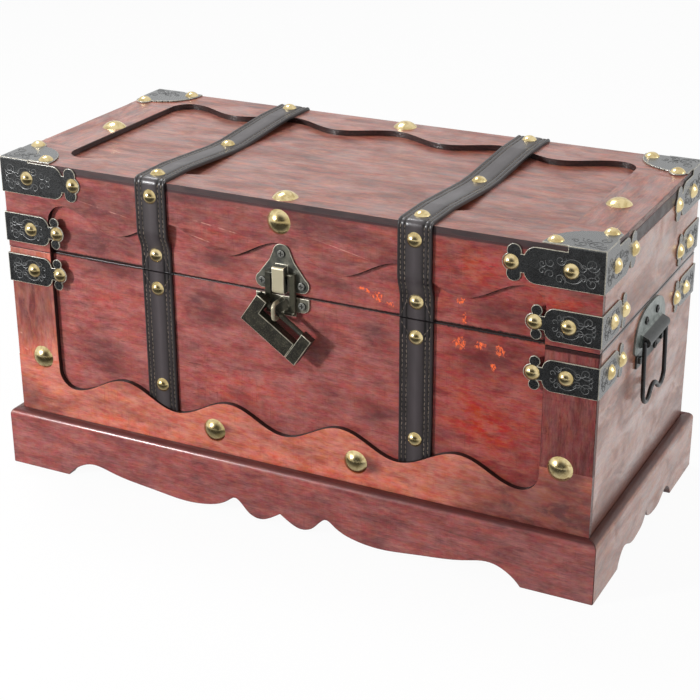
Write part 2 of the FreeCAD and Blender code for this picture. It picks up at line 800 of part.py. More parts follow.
def hasp_corners():
    """The hasp plate's three rounded corners, each with the x and z of its middle and its radius."""
    low = LID_LOW + HASP_EDGE
    side = HASP_WIDTH / 2 - HASP_CORNER
    corners = [(0.0, low + HASP_TALL - HASP_TOP, HASP_TOP)]
    for x in (side, -side):
        corners.append((x, low + HASP_CORNER, HASP_CORNER))
    return corners


def hasp_plate():
    """The triangular lid plate with the block that the link hangs in."""
    low = LID_LOW + HASP_EDGE
    half = HASP_WIDTH / 2
    face = PANEL_FRONT
    out = -Y_AXIS
    high = low + HASP_TALL
    pieces = []
    for x, z, radius in hasp_corners():
        pieces.append(Part.makeCylinder(radius, HASP_SHEET, vec(x, face, z), out))
    right_side = [
        (HASP_TOP * 0.95, high - HASP_TOP * 0.75),
        (half * 0.46, high - HASP_TALL * 0.36),
        (half * 0.97, low + HASP_CORNER * 1.4),
        (half - HASP_CORNER, low),
    ]
    left_side = [(-x, z) for x, z in reversed(right_side)]
    waist = [vec(x, face, z) for x, z in right_side + left_side]
    pieces.append(prism(waist, out * HASP_SHEET))
    block_low = LID_LOW + BLOCK_EDGE
    x = BLOCK_WIDTH / 2
    block = slab(-x, x, face - BLOCK_OUT, face - HASP_SHEET, block_low, block_low + BLOCK_TALL)
    front_edges = lambda c, e: abs(c.y - (face - BLOCK_OUT)) < 1e-6 and e.BoundBox.XLength > x
    block = rounded(block, BLOCK_ROUND, front_edges)
    pieces.append(block)
    y0, z0 = link_axis()
    hole = rod(LINK_R + RUN_FIT, vec(-x - 1, y0, z0), vec(x + 1, y0, z0))
    return joined(pieces).cut(hole)


def hasp_screws():
    """Screw places of the hasp plate."""
    y = PANEL_FRONT - HASP_SHEET
    return [(vec(x, y, z), -Y_AXIS) for x, z, _ in hasp_corners()]


def hasp_link():
    """The split link: a bar in the block, two legs and two turned-in toes with a gap between them."""
    y0, z0 = link_axis()
    foot = z0 - LINK_DROP
    spots = [vec(-LINK_GAP, y0, foot), vec(-LINK_HALF, y0, foot), vec(-LINK_HALF, y0, z0)]
    spots += [vec(LINK_HALF, y0, z0), vec(LINK_HALF, y0, foot), vec(LINK_GAP, y0, foot)]
    pieces = [rod(LINK_R, first, second) for first, second in zip(spots[:-1], spots[1:])]
    pieces += [Part.makeSphere(LINK_R, spot) for spot in spots]
    return joined(pieces)


def staple_place():
    """The y, z of the middle of the staple's eye, where the padlock's bar passes."""
    return PANEL_FRONT - HASP_SHEET - STAPLE_OUT * 0.65, SEAM_Z - STAPLE_DROP


def staple_wing():
    """The x and z of the middle of the staple plate's right wing."""
    return HASP_WIDTH / 2 - STAPLE_WING, SEAM_Z - STAPLE_EDGE - STAPLE_WING


def staple():
    """The box plate with square-topped wings, a tongue below and the staple eye."""
    y = PANEL_FRONT
    z = staple_place()[1]
    wing_x, wing_z = staple_wing()
    top = SEAM_Z - STAPLE_EDGE
    half = HASP_WIDTH / 2
    pieces = [
        slab(-half, half, y - HASP_SHEET, y, wing_z, top),
        slab(-wing_x, wing_x, y - HASP_SHEET, y, wing_z - STAPLE_WING, top),
        slab(-STAPLE_TONGUE, STAPLE_TONGUE, y - HASP_SHEET, y, top - STAPLE_TALL, top),
    ]
    for side in (1, -1):
        end = vec(side * wing_x, y, wing_z)
        pieces.append(Part.makeCylinder(STAPLE_WING, HASP_SHEET, end, -Y_AXIS))
    far = y - HASP_SHEET - STAPLE_OUT + STAPLE_R
    bend = STAPLE_BEND
    high = z + STAPLE_HALF
    low = z - STAPLE_HALF
    for level in (high, low):
        pieces.append(rod(STAPLE_R, vec(0, y - HASP_SHEET, level), vec(0, far + bend, level)))
    pieces.append(rod(STAPLE_R, vec(0, far, low + bend), vec(0, far, high - bend)))
    for level in (high - bend, low + bend):
        pieces.append(quarter_ring(vec(0, far + bend, level), bend, STAPLE_R, level > z))
    return joined(pieces)


def quarter_ring(centre, radius, wire, upward):
    """A quarter turn of round wire in the YZ plane, from the outermost point to the top or bottom point."""
    start = centre + vec(0, -radius, 0)
    profile = Part.Face(Part.Wire(Part.makeCircle(wire, start, Z_AXIS)))
    turn = -90 if upward else 90
    return profile.revolve(centre, X_AXIS, turn)


def staple_screws():
    """Screw places of the staple plate."""
    y = PANEL_FRONT - HASP_SHEET
    x, z = staple_wing()
    return [(vec(x, y, z), -Y_AXIS), (vec(-x, y, z), -Y_AXIS)]


def pad_frame():
    """The padlock's near corner and its two directions, set so that its weight hangs under the staple."""
    tilt = math.radians(PAD_TILT)
    run = vec(math.cos(tilt), 0, -math.sin(tilt))
    rise = vec(math.sin(tilt), 0, math.cos(tilt))
    y0, z0 = staple_place()
    bar_level = PAD_TALL - SHACKLE_R - PAD_RIM
    balance = bar_level - PAD_TALL * PAD_WEIGHT_UP
    along = PAD_LONG * PAD_WEIGHT_ALONG - balance * math.tan(tilt)
    corner = vec(0, y0, z0) - run * along - rise * bar_level
    return corner, run, rise, bar_level


def pad_block(u0, u1, w0, w1):
    """A block of the padlock between two stations along it and two across it."""
    corner, run, rise, _ = pad_frame()
    half = vec(0, PAD_THICK / 2, 0)
    spots = []
    for u, w in ((u0, w0), (u1, w0), (u1, w1), (u0, w1)):
        spots.append(corner + run * u + rise * w - half)
    return prism(spots, half * 2)


def pad_rod(radius, u0, u1, w):
    """A round bar along the padlock."""
    corner, run, rise, _ = pad_frame()
    return rod(radius, corner + run * u0 + rise * w, corner + run * u1 + rise * w)


def padlock():
    """The padlock's body with its fixed end, and the sliding shackle with its own end block."""
    bar_level = pad_frame()[3]
    joint = PAD_LONG - PAD_END
    body = joined([
        pad_block(0, joint, 0, PAD_BODY_TALL),
        pad_block(0, PAD_END, PAD_BODY_TALL, PAD_TALL),
    ])
    body = body.cut(pad_rod(SHACKLE_R + RUN_FIT, -1, PAD_END + 1, bar_level))
    guide_level = PAD_BODY_TALL / 2
    body = body.cut(pad_rod(GUIDE_R + RUN_FIT, joint - GUIDE_LONG - 0.5, joint + 1, guide_level))
    shackle = joined([
        pad_block(joint + SIDE_GAP, PAD_LONG, 0, PAD_TALL),
        pad_rod(SHACKLE_R, 0.4, joint + 1, bar_level),
        pad_rod(GUIDE_R, joint - GUIDE_LONG, joint + 1, guide_level),
    ])
    return body, shackle


def barrel_place():
    """The x and z of the right handle's barrel."""
    return HALF + HANDLE_PLATE + BARREL_R, SEAM_Z - BARREL_DROP


def handle_plate():
    """The right handle's arched plate, its rolled barrel and the two stops that the bail leans on."""
    x0, z0 = barrel_place()
    half = HANDLE_PLATE_WIDE / 2
    top = z0 + HANDLE_PLATE_TALL * 0.545
    low = z0 - HANDLE_PLATE_TALL * 0.455
    tab = BARREL_LONG / 2 + SIDE_GAP + BAIL_WIRE_R * 3
    arch = []
    for i in range(19):
        turn = math.pi * i / 18
        spread = math.copysign(abs(math.cos(turn)) ** 0.72, math.cos(turn))
        arch.append(vec(HALF, half * spread, z0 - 4.0 + (top - z0 + 4.0) * math.sin(turn) ** 0.8))
    lines = [vec(HALF, -tab, z0 - 7.0), vec(HALF, -tab, low), vec(HALF, tab, low), vec(HALF, tab, z0 - 7.0)]
    plate = outline_face(arch, lines).extrude(vec(HANDLE_PLATE, 0, 0))
    end = BARREL_LONG / 2
    reach = BARREL_R * 0.55
    hood = prism(
        [
            vec(HALF, -end, z0 + BARREL_R * 1.7),
            vec(x0 + reach, -end, z0 + BARREL_R * 0.83),
            vec(x0 + reach, -end, z0 - BARREL_R * 0.83),
            vec(HALF, -end, z0 - BARREL_R * 1.3),
        ],
        vec(0, BARREL_LONG, 0),
    )
    barrel = rod(BARREL_R, vec(x0, -end, z0), vec(x0, end, z0))
    pieces = [plate, hood, barrel]
    stop_y = end + SIDE_GAP + BAIL_WIRE_R
    stop_z = z0 - HANDLE_STOP_DROP
    lean = math.radians(BAIL_REST)
    arm_x = x0 + (HANDLE_STOP_DROP - HANDLE_STOP_HALF) * math.tan(lean) - BAIL_WIRE_R / math.cos(lean)
    wide = HANDLE_STOP_HALF
    for side in (1, -1):
        y = side * stop_y
        pieces.append(slab(HALF, arm_x - SIDE_GAP, y - wide, y + wide, stop_z - wide, stop_z + wide))
    bore = rod(BAIL_WIRE_R + RUN_FIT, vec(x0, -end - 1, z0), vec(x0, end + 1, z0))
    return joined(pieces).cut(bore)


def handle_screws():
    """Screw places of both handle plates."""
    z0 = barrel_place()[1]
    x = HALF + HANDLE_PLATE
    places = []
    for side in (1, -1):
        for y in (HANDLE_SCREW_Y, -HANDLE_SCREW_Y):
            for level in (z0 + HANDLE_SCREW_UP, z0 - HANDLE_SCREW_DOWN):
                places.append((vec(side * x, y, level), vec(side, 0, 0)))
    return places


def bail_path(arm_y):
    """The middle line of a bail that hangs plumb from the origin: two arms, two lobes and a raised cusp."""
    low = BAIL_WIRE_R - BAIL_DROP
    lobe_y = arm_y - BAIL_LOBE_R
    lobe_z = low + BAIL_LOBE_R
    turn = 2 * math.atan(BAIL_CUSP / lobe_y)
    crest = low + BAIL_CUSP
    meet = vec(0, lobe_y - BAIL_LOBE_R * math.sin(turn), lobe_z - BAIL_LOBE_R * math.cos(turn))
    shoulder = vec(0, arm_y, lobe_z)
    right = [
        Part.makeLine(vec(0, arm_y, 0), shoulder),
        Part.Arc(shoulder, vec(0, lobe_y, low), meet).toShape(),
    ]
    over = Part.Arc(meet, vec(0, 0, crest), vec(0, -meet.y, meet.z)).toShape()
    left = [front_to_back(edge) for edge in reversed(right)]
    return Part.Wire(right + [over] + left)


def bail():
    """The right bail: wire bent to the bail's path, with two ends turned into the barrel."""
    x0, z0 = barrel_place()
    end = BARREL_LONG / 2
    arm_y = end + SIDE_GAP + BAIL_WIRE_R
    inside = end - BAIL_GRIP
    profile = Part.Wire(Part.makeCircle(BAIL_WIRE_R, vec(0, arm_y, 0), Z_AXIS))
    pieces = [bail_path(arm_y).makePipeShell([profile], True, False)]
    for side in (1, -1):
        pieces.append(Part.makeSphere(BAIL_WIRE_R, vec(0, side * arm_y, 0)))
        pieces.append(rod(BAIL_WIRE_R, vec(0, side * inside, 0), vec(0, side * arm_y, 0)))
    whole = joined(pieces)
    whole.rotate(ORIGIN, Y_AXIS, -BAIL_REST)
    whole.translate(vec(x0, 0, z0))
    return whole


def build():
    """Every node of the chest by name."""
    nodes = {}
    for family in (box_carcass(), box_overlay(), lid_carcass(), lid_overlay(), plinth()):
        nodes.update(family)
    nodes.update(four_corners("cap", corner_cap(0), corner_cap(CAP_LEFT_LIFT)))
    for name, level, lift in (
        ("lid_angle", lid_angle_z(), LID_ANGLE_LEFT_LIFT),
        ("box_angle", box_angle_z(), BOX_ANGLE_LEFT_LIFT),
    ):
        nodes.update(four_corners(name, corner_angle(level), corner_angle(level + lift)))
    for name, shape in (("lid_strap", lid_strap()), ("box_strap", box_strap())):
        nodes[name + "_right"] = shape
        nodes[name + "_left"] = across(shape)
    nodes["lid_tacks"] = group([dome(TACK_R, TACK_RISE, p, d) for p, d in lid_nails()])
    nodes["box_tacks"] = group([dome(TACK_R, TACK_RISE, p, d) for p, d in box_nails()])
    nodes["lid_studs"] = group([dome(STUD_R, STUD_RISE, p, d) for p, d in lid_stud_places()])
    nodes["box_studs"] = group([dome(STUD_R, STUD_RISE, p, d) for p, d in box_stud_places()])
    lid_screw_places = hasp_screws() + hinge_screws(1)
    box_screw_places = staple_screws() + handle_screws() + hinge_screws(-1)
    nodes["lid_screws"] = group([screw(p, d) for p, d in lid_screw_places])
    nodes["box_screws"] = group([screw(p, d) for p, d in box_screw_places])
    box_leaf, lid_leaf, pin = hinge_leaves()
    nodes["hinge_box_right"] = box_leaf
    nodes["hinge_box_left"] = across(box_leaf)
    nodes["hinge_lid_right"] = lid_leaf
    nodes["hinge_lid_left"] = across(lid_leaf)
    nodes["hinge_pins"] = group([pin, across(pin)])
    nodes["hasp_plate"] = hasp_plate()
    nodes["hasp_link"] = hasp_link()
    nodes["staple"] = staple()
    nodes["padlock_body"], nodes["padlock_shackle"] = padlock()
    plate = handle_plate()
    nodes["handle_plate_right"] = plate
    nodes["handle_plate_left"] = across(plate)
    wire = bail()
    nodes["bail_right"] = wire
    nodes["bail_left"] = across(wire)
    return nodes


def main():
    """Write each node to its own file."""
    os.makedirs("parts", exist_ok=True)
    for name, shape in build().items():
        shape.exportStep("parts/" + name + ".step")


main()
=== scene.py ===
"""Dresses the sea chest: stained boards, stitched straps, engraved plates, domed nails and hasp.

Sizes are in metres, in the chest's own frame: the front faces -Y, +X is right and +Z is up.
"""

import json
import logging
import math
from dataclasses import dataclass, field, replace
from enum import Enum
from typing import Any, Callable, Iterable, NamedTuple, Sequence

import bmesh
import bpy
from mathutils import Matrix, Vector, noise

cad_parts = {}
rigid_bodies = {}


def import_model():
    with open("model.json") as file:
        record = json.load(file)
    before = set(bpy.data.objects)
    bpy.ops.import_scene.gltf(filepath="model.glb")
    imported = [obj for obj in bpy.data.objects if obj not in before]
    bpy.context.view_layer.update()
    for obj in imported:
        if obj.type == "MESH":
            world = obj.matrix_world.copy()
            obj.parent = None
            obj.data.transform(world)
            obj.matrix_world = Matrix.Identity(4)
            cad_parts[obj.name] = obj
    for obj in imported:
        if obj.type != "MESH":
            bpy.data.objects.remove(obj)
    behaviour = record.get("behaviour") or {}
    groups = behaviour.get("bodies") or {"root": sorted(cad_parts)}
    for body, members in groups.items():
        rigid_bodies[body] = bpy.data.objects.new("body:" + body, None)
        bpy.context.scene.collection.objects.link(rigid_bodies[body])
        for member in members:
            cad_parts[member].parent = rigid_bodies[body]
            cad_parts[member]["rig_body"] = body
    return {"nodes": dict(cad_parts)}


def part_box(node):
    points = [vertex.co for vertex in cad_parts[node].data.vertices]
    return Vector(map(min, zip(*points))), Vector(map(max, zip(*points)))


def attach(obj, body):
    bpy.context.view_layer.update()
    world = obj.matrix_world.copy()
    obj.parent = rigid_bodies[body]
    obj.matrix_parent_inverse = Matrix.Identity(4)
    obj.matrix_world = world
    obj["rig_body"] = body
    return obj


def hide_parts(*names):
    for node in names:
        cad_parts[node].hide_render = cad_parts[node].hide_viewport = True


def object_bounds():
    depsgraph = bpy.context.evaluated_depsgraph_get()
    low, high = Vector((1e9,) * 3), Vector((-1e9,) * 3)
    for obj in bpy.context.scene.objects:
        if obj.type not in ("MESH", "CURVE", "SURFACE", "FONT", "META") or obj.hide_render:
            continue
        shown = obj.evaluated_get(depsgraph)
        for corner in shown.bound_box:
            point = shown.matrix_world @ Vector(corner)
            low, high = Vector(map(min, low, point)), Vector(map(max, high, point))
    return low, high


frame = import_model()
CAD_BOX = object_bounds()
MM = 0.001
MERGE = 0.002 * MM
SHARP = math.radians(28)
FLAT = math.radians(0.6)
SMOOTH_PIECE = math.radians(50)
SMOOTH_NODE = math.radians(35)
X_AXIS = Vector((1, 0, 0))
Y_AXIS = Vector((0, 1, 0))
Z_AXIS = Vector((0, 0, 1))
EDGE = "eased_edge"
FRONT_REACH = 0.1
MARK_BLUR = (0.2, 1.0)
log = logging.getLogger("sea_chest")

Colour = tuple[float, float, float]
Span = tuple[float, float]
Profile = Sequence[tuple[float, float]]
EdgeTest = Callable[[Vector], bool]
Move = Callable[[Vector], Vector]
Mesh = bmesh.types.BMesh
Material = bpy.types.Material
Socket = bpy.types.NodeSocket


class Grain(Enum):
    """The way that a board's grain runs, as the axis along it."""

    LENGTH = 0
    DEPTH = 1
    UPRIGHT = 2


class Facing(Enum):
    """The side that a board shows, as the direction square to it."""

    FRONT = (0.0, 1.0, 0.0)
    TOP = (0.0, 0.0, 1.0)
    END = (1.0, 0.0, 0.0)


class Side(Enum):
    """The right or left half of the chest."""

    RIGHT = 1
    LEFT = -1


class Station(NamedTuple):
    """One stop along a sweep: its place, the way across and the way out of the surface."""

    place: Vector
    across: Vector
    out: Vector


class Fixing(NamedTuple):
    """A nail head's seat, the way that it points, its radius and its rise."""

    seat: Vector
    out: Vector
    radius: float
    rise: float


class Tones(NamedTuple):
    """The dark, the middle and the light tone of a stain."""

    deep: Colour
    mid: Colour
    light: Colour


RED = Tones((0.135, 0.033, 0.031), (0.285, 0.074, 0.066), (0.40, 0.108, 0.085))
DUSK = Tones((0.10, 0.024, 0.024), (0.235, 0.058, 0.051), (0.35, 0.088, 0.070))
# painted shade: a darker copy of the stile stain for the right stile
SHADED_STILE = Tones((0.08, 0.021, 0.020), (0.21, 0.058, 0.052), (0.30, 0.084, 0.070))
WARM = Tones((0.25, 0.068, 0.050), (0.46, 0.128, 0.088), (0.61, 0.19, 0.115))
WINE = Tones((0.11, 0.027, 0.027), (0.25, 0.064, 0.058), (0.37, 0.10, 0.082))
BROWN = Tones((0.05, 0.014, 0.011), (0.27, 0.074, 0.045), (0.48, 0.15, 0.09))
PLAIN = Tones((0.12, 0.041, 0.026), (0.29, 0.109, 0.064), (0.43, 0.182, 0.112))


class Graph:
    """A material's node tree, with short calls that add nodes and join them."""

    def __init__(self, name: str) -> None:
        """Start a material with its own shader.

        Args:
            name: The material's name.
        """
        self.material = bpy.data.materials.new(name)
        self.material.use_nodes = True
        self.tree = self.material.node_tree
        self.shader = self.tree.nodes["Principled BSDF"]
        self.spot = self.node("ShaderNodeTexCoord")

    def node(self, kind: str, **settings: Any) -> bpy.types.Node:
        """Add a node.

        Args:
            kind: The node's type name.
            settings: Properties to set on it.

        Returns:
            The new node.
        """
        made = self.tree.nodes.new(kind)
        for key, value in settings.items():
            setattr(made, key, value)
        return made

    def feed(self, socket: Socket, value: Any) -> None:
        """Give a socket its value.

        Args:
            socket: The input.
            value: An output to link into it, or a plain value.
        """
        if isinstance(value, Socket):
            self.tree.links.new(value, socket)
        else:
            socket.default_value = value

    def placed(
        self, size: Sequence[float], shift: Sequence[float] = (0, 0, 0), turn: Sequence[float] = (0, 0, 0)
    ) -> Socket:
        """Object coordinates measured from a point, in units of a size along each axis.

        Args:
            size: The length of one unit along each axis.
            shift: The point that becomes the origin.
            turn: Angles that the pattern is turned by.

        Returns:
            The vector socket.
        """
        made = self.node("ShaderNodeMapping", vector_type="TEXTURE")
        self.feed(made.inputs["Vector"], self.spot.outputs["Object"])
        made.inputs["Location"].default_value = shift
        made.inputs["Rotation"].default_value = turn
        made.inputs["Scale"].default_value = size
        return made.outputs["Vector"]

    def noise(self, vector: Socket, detail: float, rough: float, bend: float = 0.0) -> Socket:
        """Cloudy noise of about one unit of a vector.

        Args:
            vector: The coordinates.
            detail: How many finer layers lie on the first.
            rough: How strong the finer layers are.
            bend: How far the pattern is pulled about.

        Returns:
            The value socket.
        """
        made = self.node("ShaderNodeTexNoise")
        self.feed(made.inputs["Vector"], vector)
        settings = {"Scale": 1.0, "Detail": detail, "Roughness": rough, "Distortion": bend}
        for key, number in settings.items():
            made.inputs[key].default_value = number
        return made.outputs["Fac"]

    def even_noise(self, size: float, detail: float, rough: float, bend: float = 0.0) -> Socket:
        """Cloudy noise of one size along every axis, as a value socket."""
        return self.noise(self.placed([size] * 3), detail, rough, bend)

    def cells(self, size: float) -> Socket:
        """Distance to the nearest of many scattered points.

        Args:
            size: About how far the points lie apart.

        Returns:
            The value socket.
        """
        made = self.node("ShaderNodeTexVoronoi")
        self.feed(made.inputs["Vector"], self.placed([size] * 3))
        made.inputs["Scale"].default_value = 1.0
        return made.outputs["Distance"]

    def fade(self, value: Any, low: float, high: float, start: float = 0.0, end: float = 1.0) -> Socket:
        """A smooth passage between two results.

        Args:
            value: What the passage follows.
            low: The value at which it begins.
            high: The value at which it is done.
            start: The result up to the low value.
            end: The result from the high value on.

        Returns:
            The value socket.
        """
        made = self.node("ShaderNodeMapRange", interpolation_type="SMOOTHSTEP")
        self.feed(made.inputs["Value"], value)
        ends = {"From Min": low, "From Max": high, "To Min": start, "To Max": end}
        for key, number in ends.items():
            made.inputs[key].default_value = number
        return made.outputs["Result"]

    def reckon(self, kind: str, first: Any, second: Any = 0.0) -> Socket:
        """One or two values put through a math operation.

        Args:
            kind: The operation's name.
            first: The first value.
            second: The second value, where the operation has one.

        Returns:
            The value socket.
        """
        made = self.node("ShaderNodeMath", operation=kind)
        self.feed(made.inputs[0], first)
        self.feed(made.inputs[1], second)
        return made.outputs["Value"]

    def product(self, *parts: Any) -> Socket:
        """Several values multiplied.

        Args:
            parts: The values.

        Returns:
            The value socket.
        """
        whole = parts[0]
        for part in parts[1:]:
            whole = self.reckon("MULTIPLY", whole, part)
        return whole

    def total(self, *parts: tuple[Any, float]) -> Socket:
        """The sum of values.

        Args:
            parts: The values, each with its share.

        Returns:
            The value socket.
        """
        whole: Any = 0.0
        for value, share in parts:
            made = self.node("ShaderNodeMath", operation="MULTIPLY_ADD")
            for socket, number in zip(made.inputs, (value, share, whole)):
                self.feed(socket, number)
            whole = made.outputs["Value"]
        return whole

    def axis(self, name: str) -> Socket:
        """The object coordinate along one axis.

        Args:
            name: X, Y or Z.

        Returns:
            The value socket.
        """
        made = self.node("ShaderNodeSeparateXYZ")
        self.feed(made.inputs[0], self.spot.outputs["Object"])
        return made.outputs[name]

    def reach(self, name: str) -> Socket:
        """How far a point lies from the chest's middle along one axis, as a value socket."""
        return self.reckon("ABSOLUTE", self.axis(name))

    def length(self, vector: Socket) -> Socket:
        """The length of a vector.

        Args:
            vector: The vector.

        Returns:
            The value socket.
        """
        made = self.node("ShaderNodeVectorMath", operation="LENGTH")
        self.feed(made.inputs[0], vector)
        return made.outputs["Value"]

    def ramp(self, value: Any, stops: Sequence[tuple[float, Colour]]) -> Socket:
        """A colour that follows a value.

        Args:
            value: What the colour follows.
            stops: Places along the value, each with its colour.

        Returns:
            The colour socket.
        """
        made = self.node("ShaderNodeValToRGB")
        self.feed(made.inputs["Fac"], value)
        points = made.color_ramp.elements
        while len(points) < len(stops):
            points.new(0.5)
        for point, (place, colour) in zip(points, stops):
            point.position = place
            point.color = (*colour, 1.0)
        return made.outputs["Color"]

    def mix(self, share: Any, first: Any, second: Any) -> Socket:
        """One colour that passes into another.

        Args:
            share: How much there is of the second colour.
            first: The first colour.
            second: The second colour.

        Returns:
            The colour socket.
        """
        made = self.node("ShaderNodeMix", data_type="RGBA")
        self.feed(made.inputs[0], share)
        for socket, value in ((made.inputs[6], first), (made.inputs[7], second)):
            self.feed(socket, (*value, 1.0) if isinstance(value, tuple) else value)
        return made.outputs[2]

    def tinted(self, colour: Any, hue: Any, strength: Any) -> Socket:
        """A colour turned in hue and changed in strength.

        Args:
            colour: The colour.
            hue: The turn, which leaves the colour as it is at a half.
            strength: The strength, which leaves the colour as it is at 1.

        Returns:
            The colour socket.
        """
        made = self.node("ShaderNodeHueSaturation")
        for key, value in (("Hue", hue), ("Saturation", strength), ("Color", colour)):
            self.feed(made.inputs[key], value)
        return made.outputs["Color"]

    def attribute(self, name: str) -> Socket:
        """The value of a mesh attribute, as a socket."""
        return self.node("ShaderNodeAttribute", attribute_name=name).outputs["Fac"]

    def slope(self, direction: Sequence[float]) -> Socket:
        """How squarely the surface faces along a direction, either way.

        Args:
            direction: The direction.

        Returns:
            The value socket, from 0 to 1.
        """
        made = self.node("ShaderNodeVectorMath", operation="DOT_PRODUCT")
        self.feed(made.inputs[0], self.spot.outputs["Normal"])
        made.inputs[1].default_value = direction
        return self.reckon("ABSOLUTE", made.outputs["Value"])

    def bump(self, height: Any, depth: float, strength: float) -> None:
        """Raise the surface by a height value.

        Args:
            height: The value.
            depth: How far a height of 1 stands out.
            strength: How much of it shows.
        """
        made = self.node("ShaderNodeBump")
        made.inputs["Strength"].default_value = strength
        made.inputs["Distance"].default_value = depth
        self.feed(made.inputs["Height"], height)
        self.feed(self.shader.inputs["Normal"], made.outputs["Normal"])

    def assign(self, **values: Any) -> None:
        """Set or link the shader's sockets by their names, with _ for a space."""
        for key, value in values.items():
            self.feed(self.shader.inputs[key.replace("_", " ")], value)


@dataclass(frozen=True)
class Mark:
    """A worn spot on the chest's front, in millimetres: its middle, half sizes and tilt."""

    x: float
    z: float
    half_long: float
    half_tall: float
    tilt: float = 0.0

    def mask(self, graph: Graph) -> Socket:
        """Draw the mark's mask.

        Args:
            graph: The material's nodes.

        Returns:
            A value socket, 1 in the middle of the mark and 0 outside it.
        """
        size = (self.half_long * MM, FRONT_REACH, self.half_tall * MM)
        middle = (self.x * MM, CAD_BOX[0][1], self.z * MM)
        local = graph.placed(size, middle, (0, self.tilt, 0))
        return graph.fade(graph.length(local), *MARK_BLUR, 1.0, 0.0)


CHIPS = (
    Mark(51.0, 158.4, 10.0, 4.0, 0.2),
    Mark(60.0, 155.4, 10.0, 6.5, 0.35),
    Mark(67.5, 152.7, 6.0, 4.0, 0.2),
    Mark(111.8, 152.0, 3.6, 9.0),
    Mark(110.0, 162.0, 8.0, 4.5),
    Mark(109.5, 137.0, 9.0, 9.0),
    Mark(121.5, 138.0, 7.0, 6.0),
    Mark(133.0, 137.0, 8.0, 8.0),
    Mark(129.5, 126.5, 4.0, 6.0),
)
SMOKE_AND_SHADE = (
    Mark(-122.0, 184.0, 42.0, 13.0),
    Mark(-120.0, 158.0, 46.0, 13.0),
    Mark(-56.0, 197.0, 30.0, 6.0),
    Mark(-40.0, 160.0, 26.0, 9.0),
    Mark(30.0, 193.0, 44.0, 8.0, 0.08),
    Mark(30.0, 158.0, 24.0, 8.0),
    Mark(142.0, 158.0, 42.0, 12.0),
    Mark(-128.0, 86.0, 34.0, 22.0, 0.3),
    Mark(-118.0, 143.0, 36.0, 11.0),
    Mark(-52.0, 130.0, 24.0, 20.0),
    Mark(58.0, 84.0, 16.0, 16.0),
    Mark(60.0, 132.0, 18.0, 14.0),
    Mark(128.0, 132.0, 34.0, 20.0),
    Mark(177.0, 82.0, 18.0, 46.0),
    Mark(165.0, 48.0, 85.0, 36.0),
    Mark(-194.0, 44.0, 38.0, 20.0),
    # painted shadow to the right of the padlock
    Mark(23.0, 116.0, 12.0, 12.0),
    Mark(-178.0, 114.0, 32.0, 46.0),
    Mark(-44.0, 54.0, 12.0, 5.0),
    Mark(56.0, 52.0, 12.0, 8.0),
)
EMBERS = (
    Mark(120.0, 184.0, 40.0, 15.0),
    Mark(168.0, 172.0, 30.0, 8.0),
    Mark(-46.0, 178.0, 26.0, 8.0),
    Mark(124.0, 92.0, 30.0, 20.0, 0.4),
    Mark(-24.0, 79.0, 46.0, 16.0),
    Mark(-100.0, 40.0, 60.0, 9.0),
    Mark(60.0, 42.0, 60.0, 8.0),
    Mark(0.0, 41.0, 60.0, 9.0),
    Mark(-118.0, 118.0, 22.0, 12.0),
)
SCRATCHES = (
    Mark(-41.0, 182.0, 31.0, 0.5, 0.13),
    Mark(-50.0, 173.0, 19.0, 0.5, 0.19),
    Mark(-118.0, 181.0, 24.0, 0.5, 0.16),
    Mark(40.0, 181.0, 22.0, 0.4, 0.2),
    Mark(-187.0, 89.7, 1.4, 0.9),
    Mark(-183.9, 79.2, 2.2, 0.8, 0.4),
    Mark(-163.0, 82.0, 1.8, 0.9, 0.6),
    Mark(-162.7, 77.8, 1.2, 0.9),
)


def joined_masks(graph: Graph, marks: Sequence[Mark]) -> Socket:
    """Draw one mask for several marks.

    Args:
        graph: The material's nodes.
        marks: The marks.

    Returns:
        The value socket.
    """
    whole = marks[0].mask(graph)
    for mark in marks[1:]:
        whole = graph.reckon("MAXIMUM", whole, mark.mask(graph))
    return whole


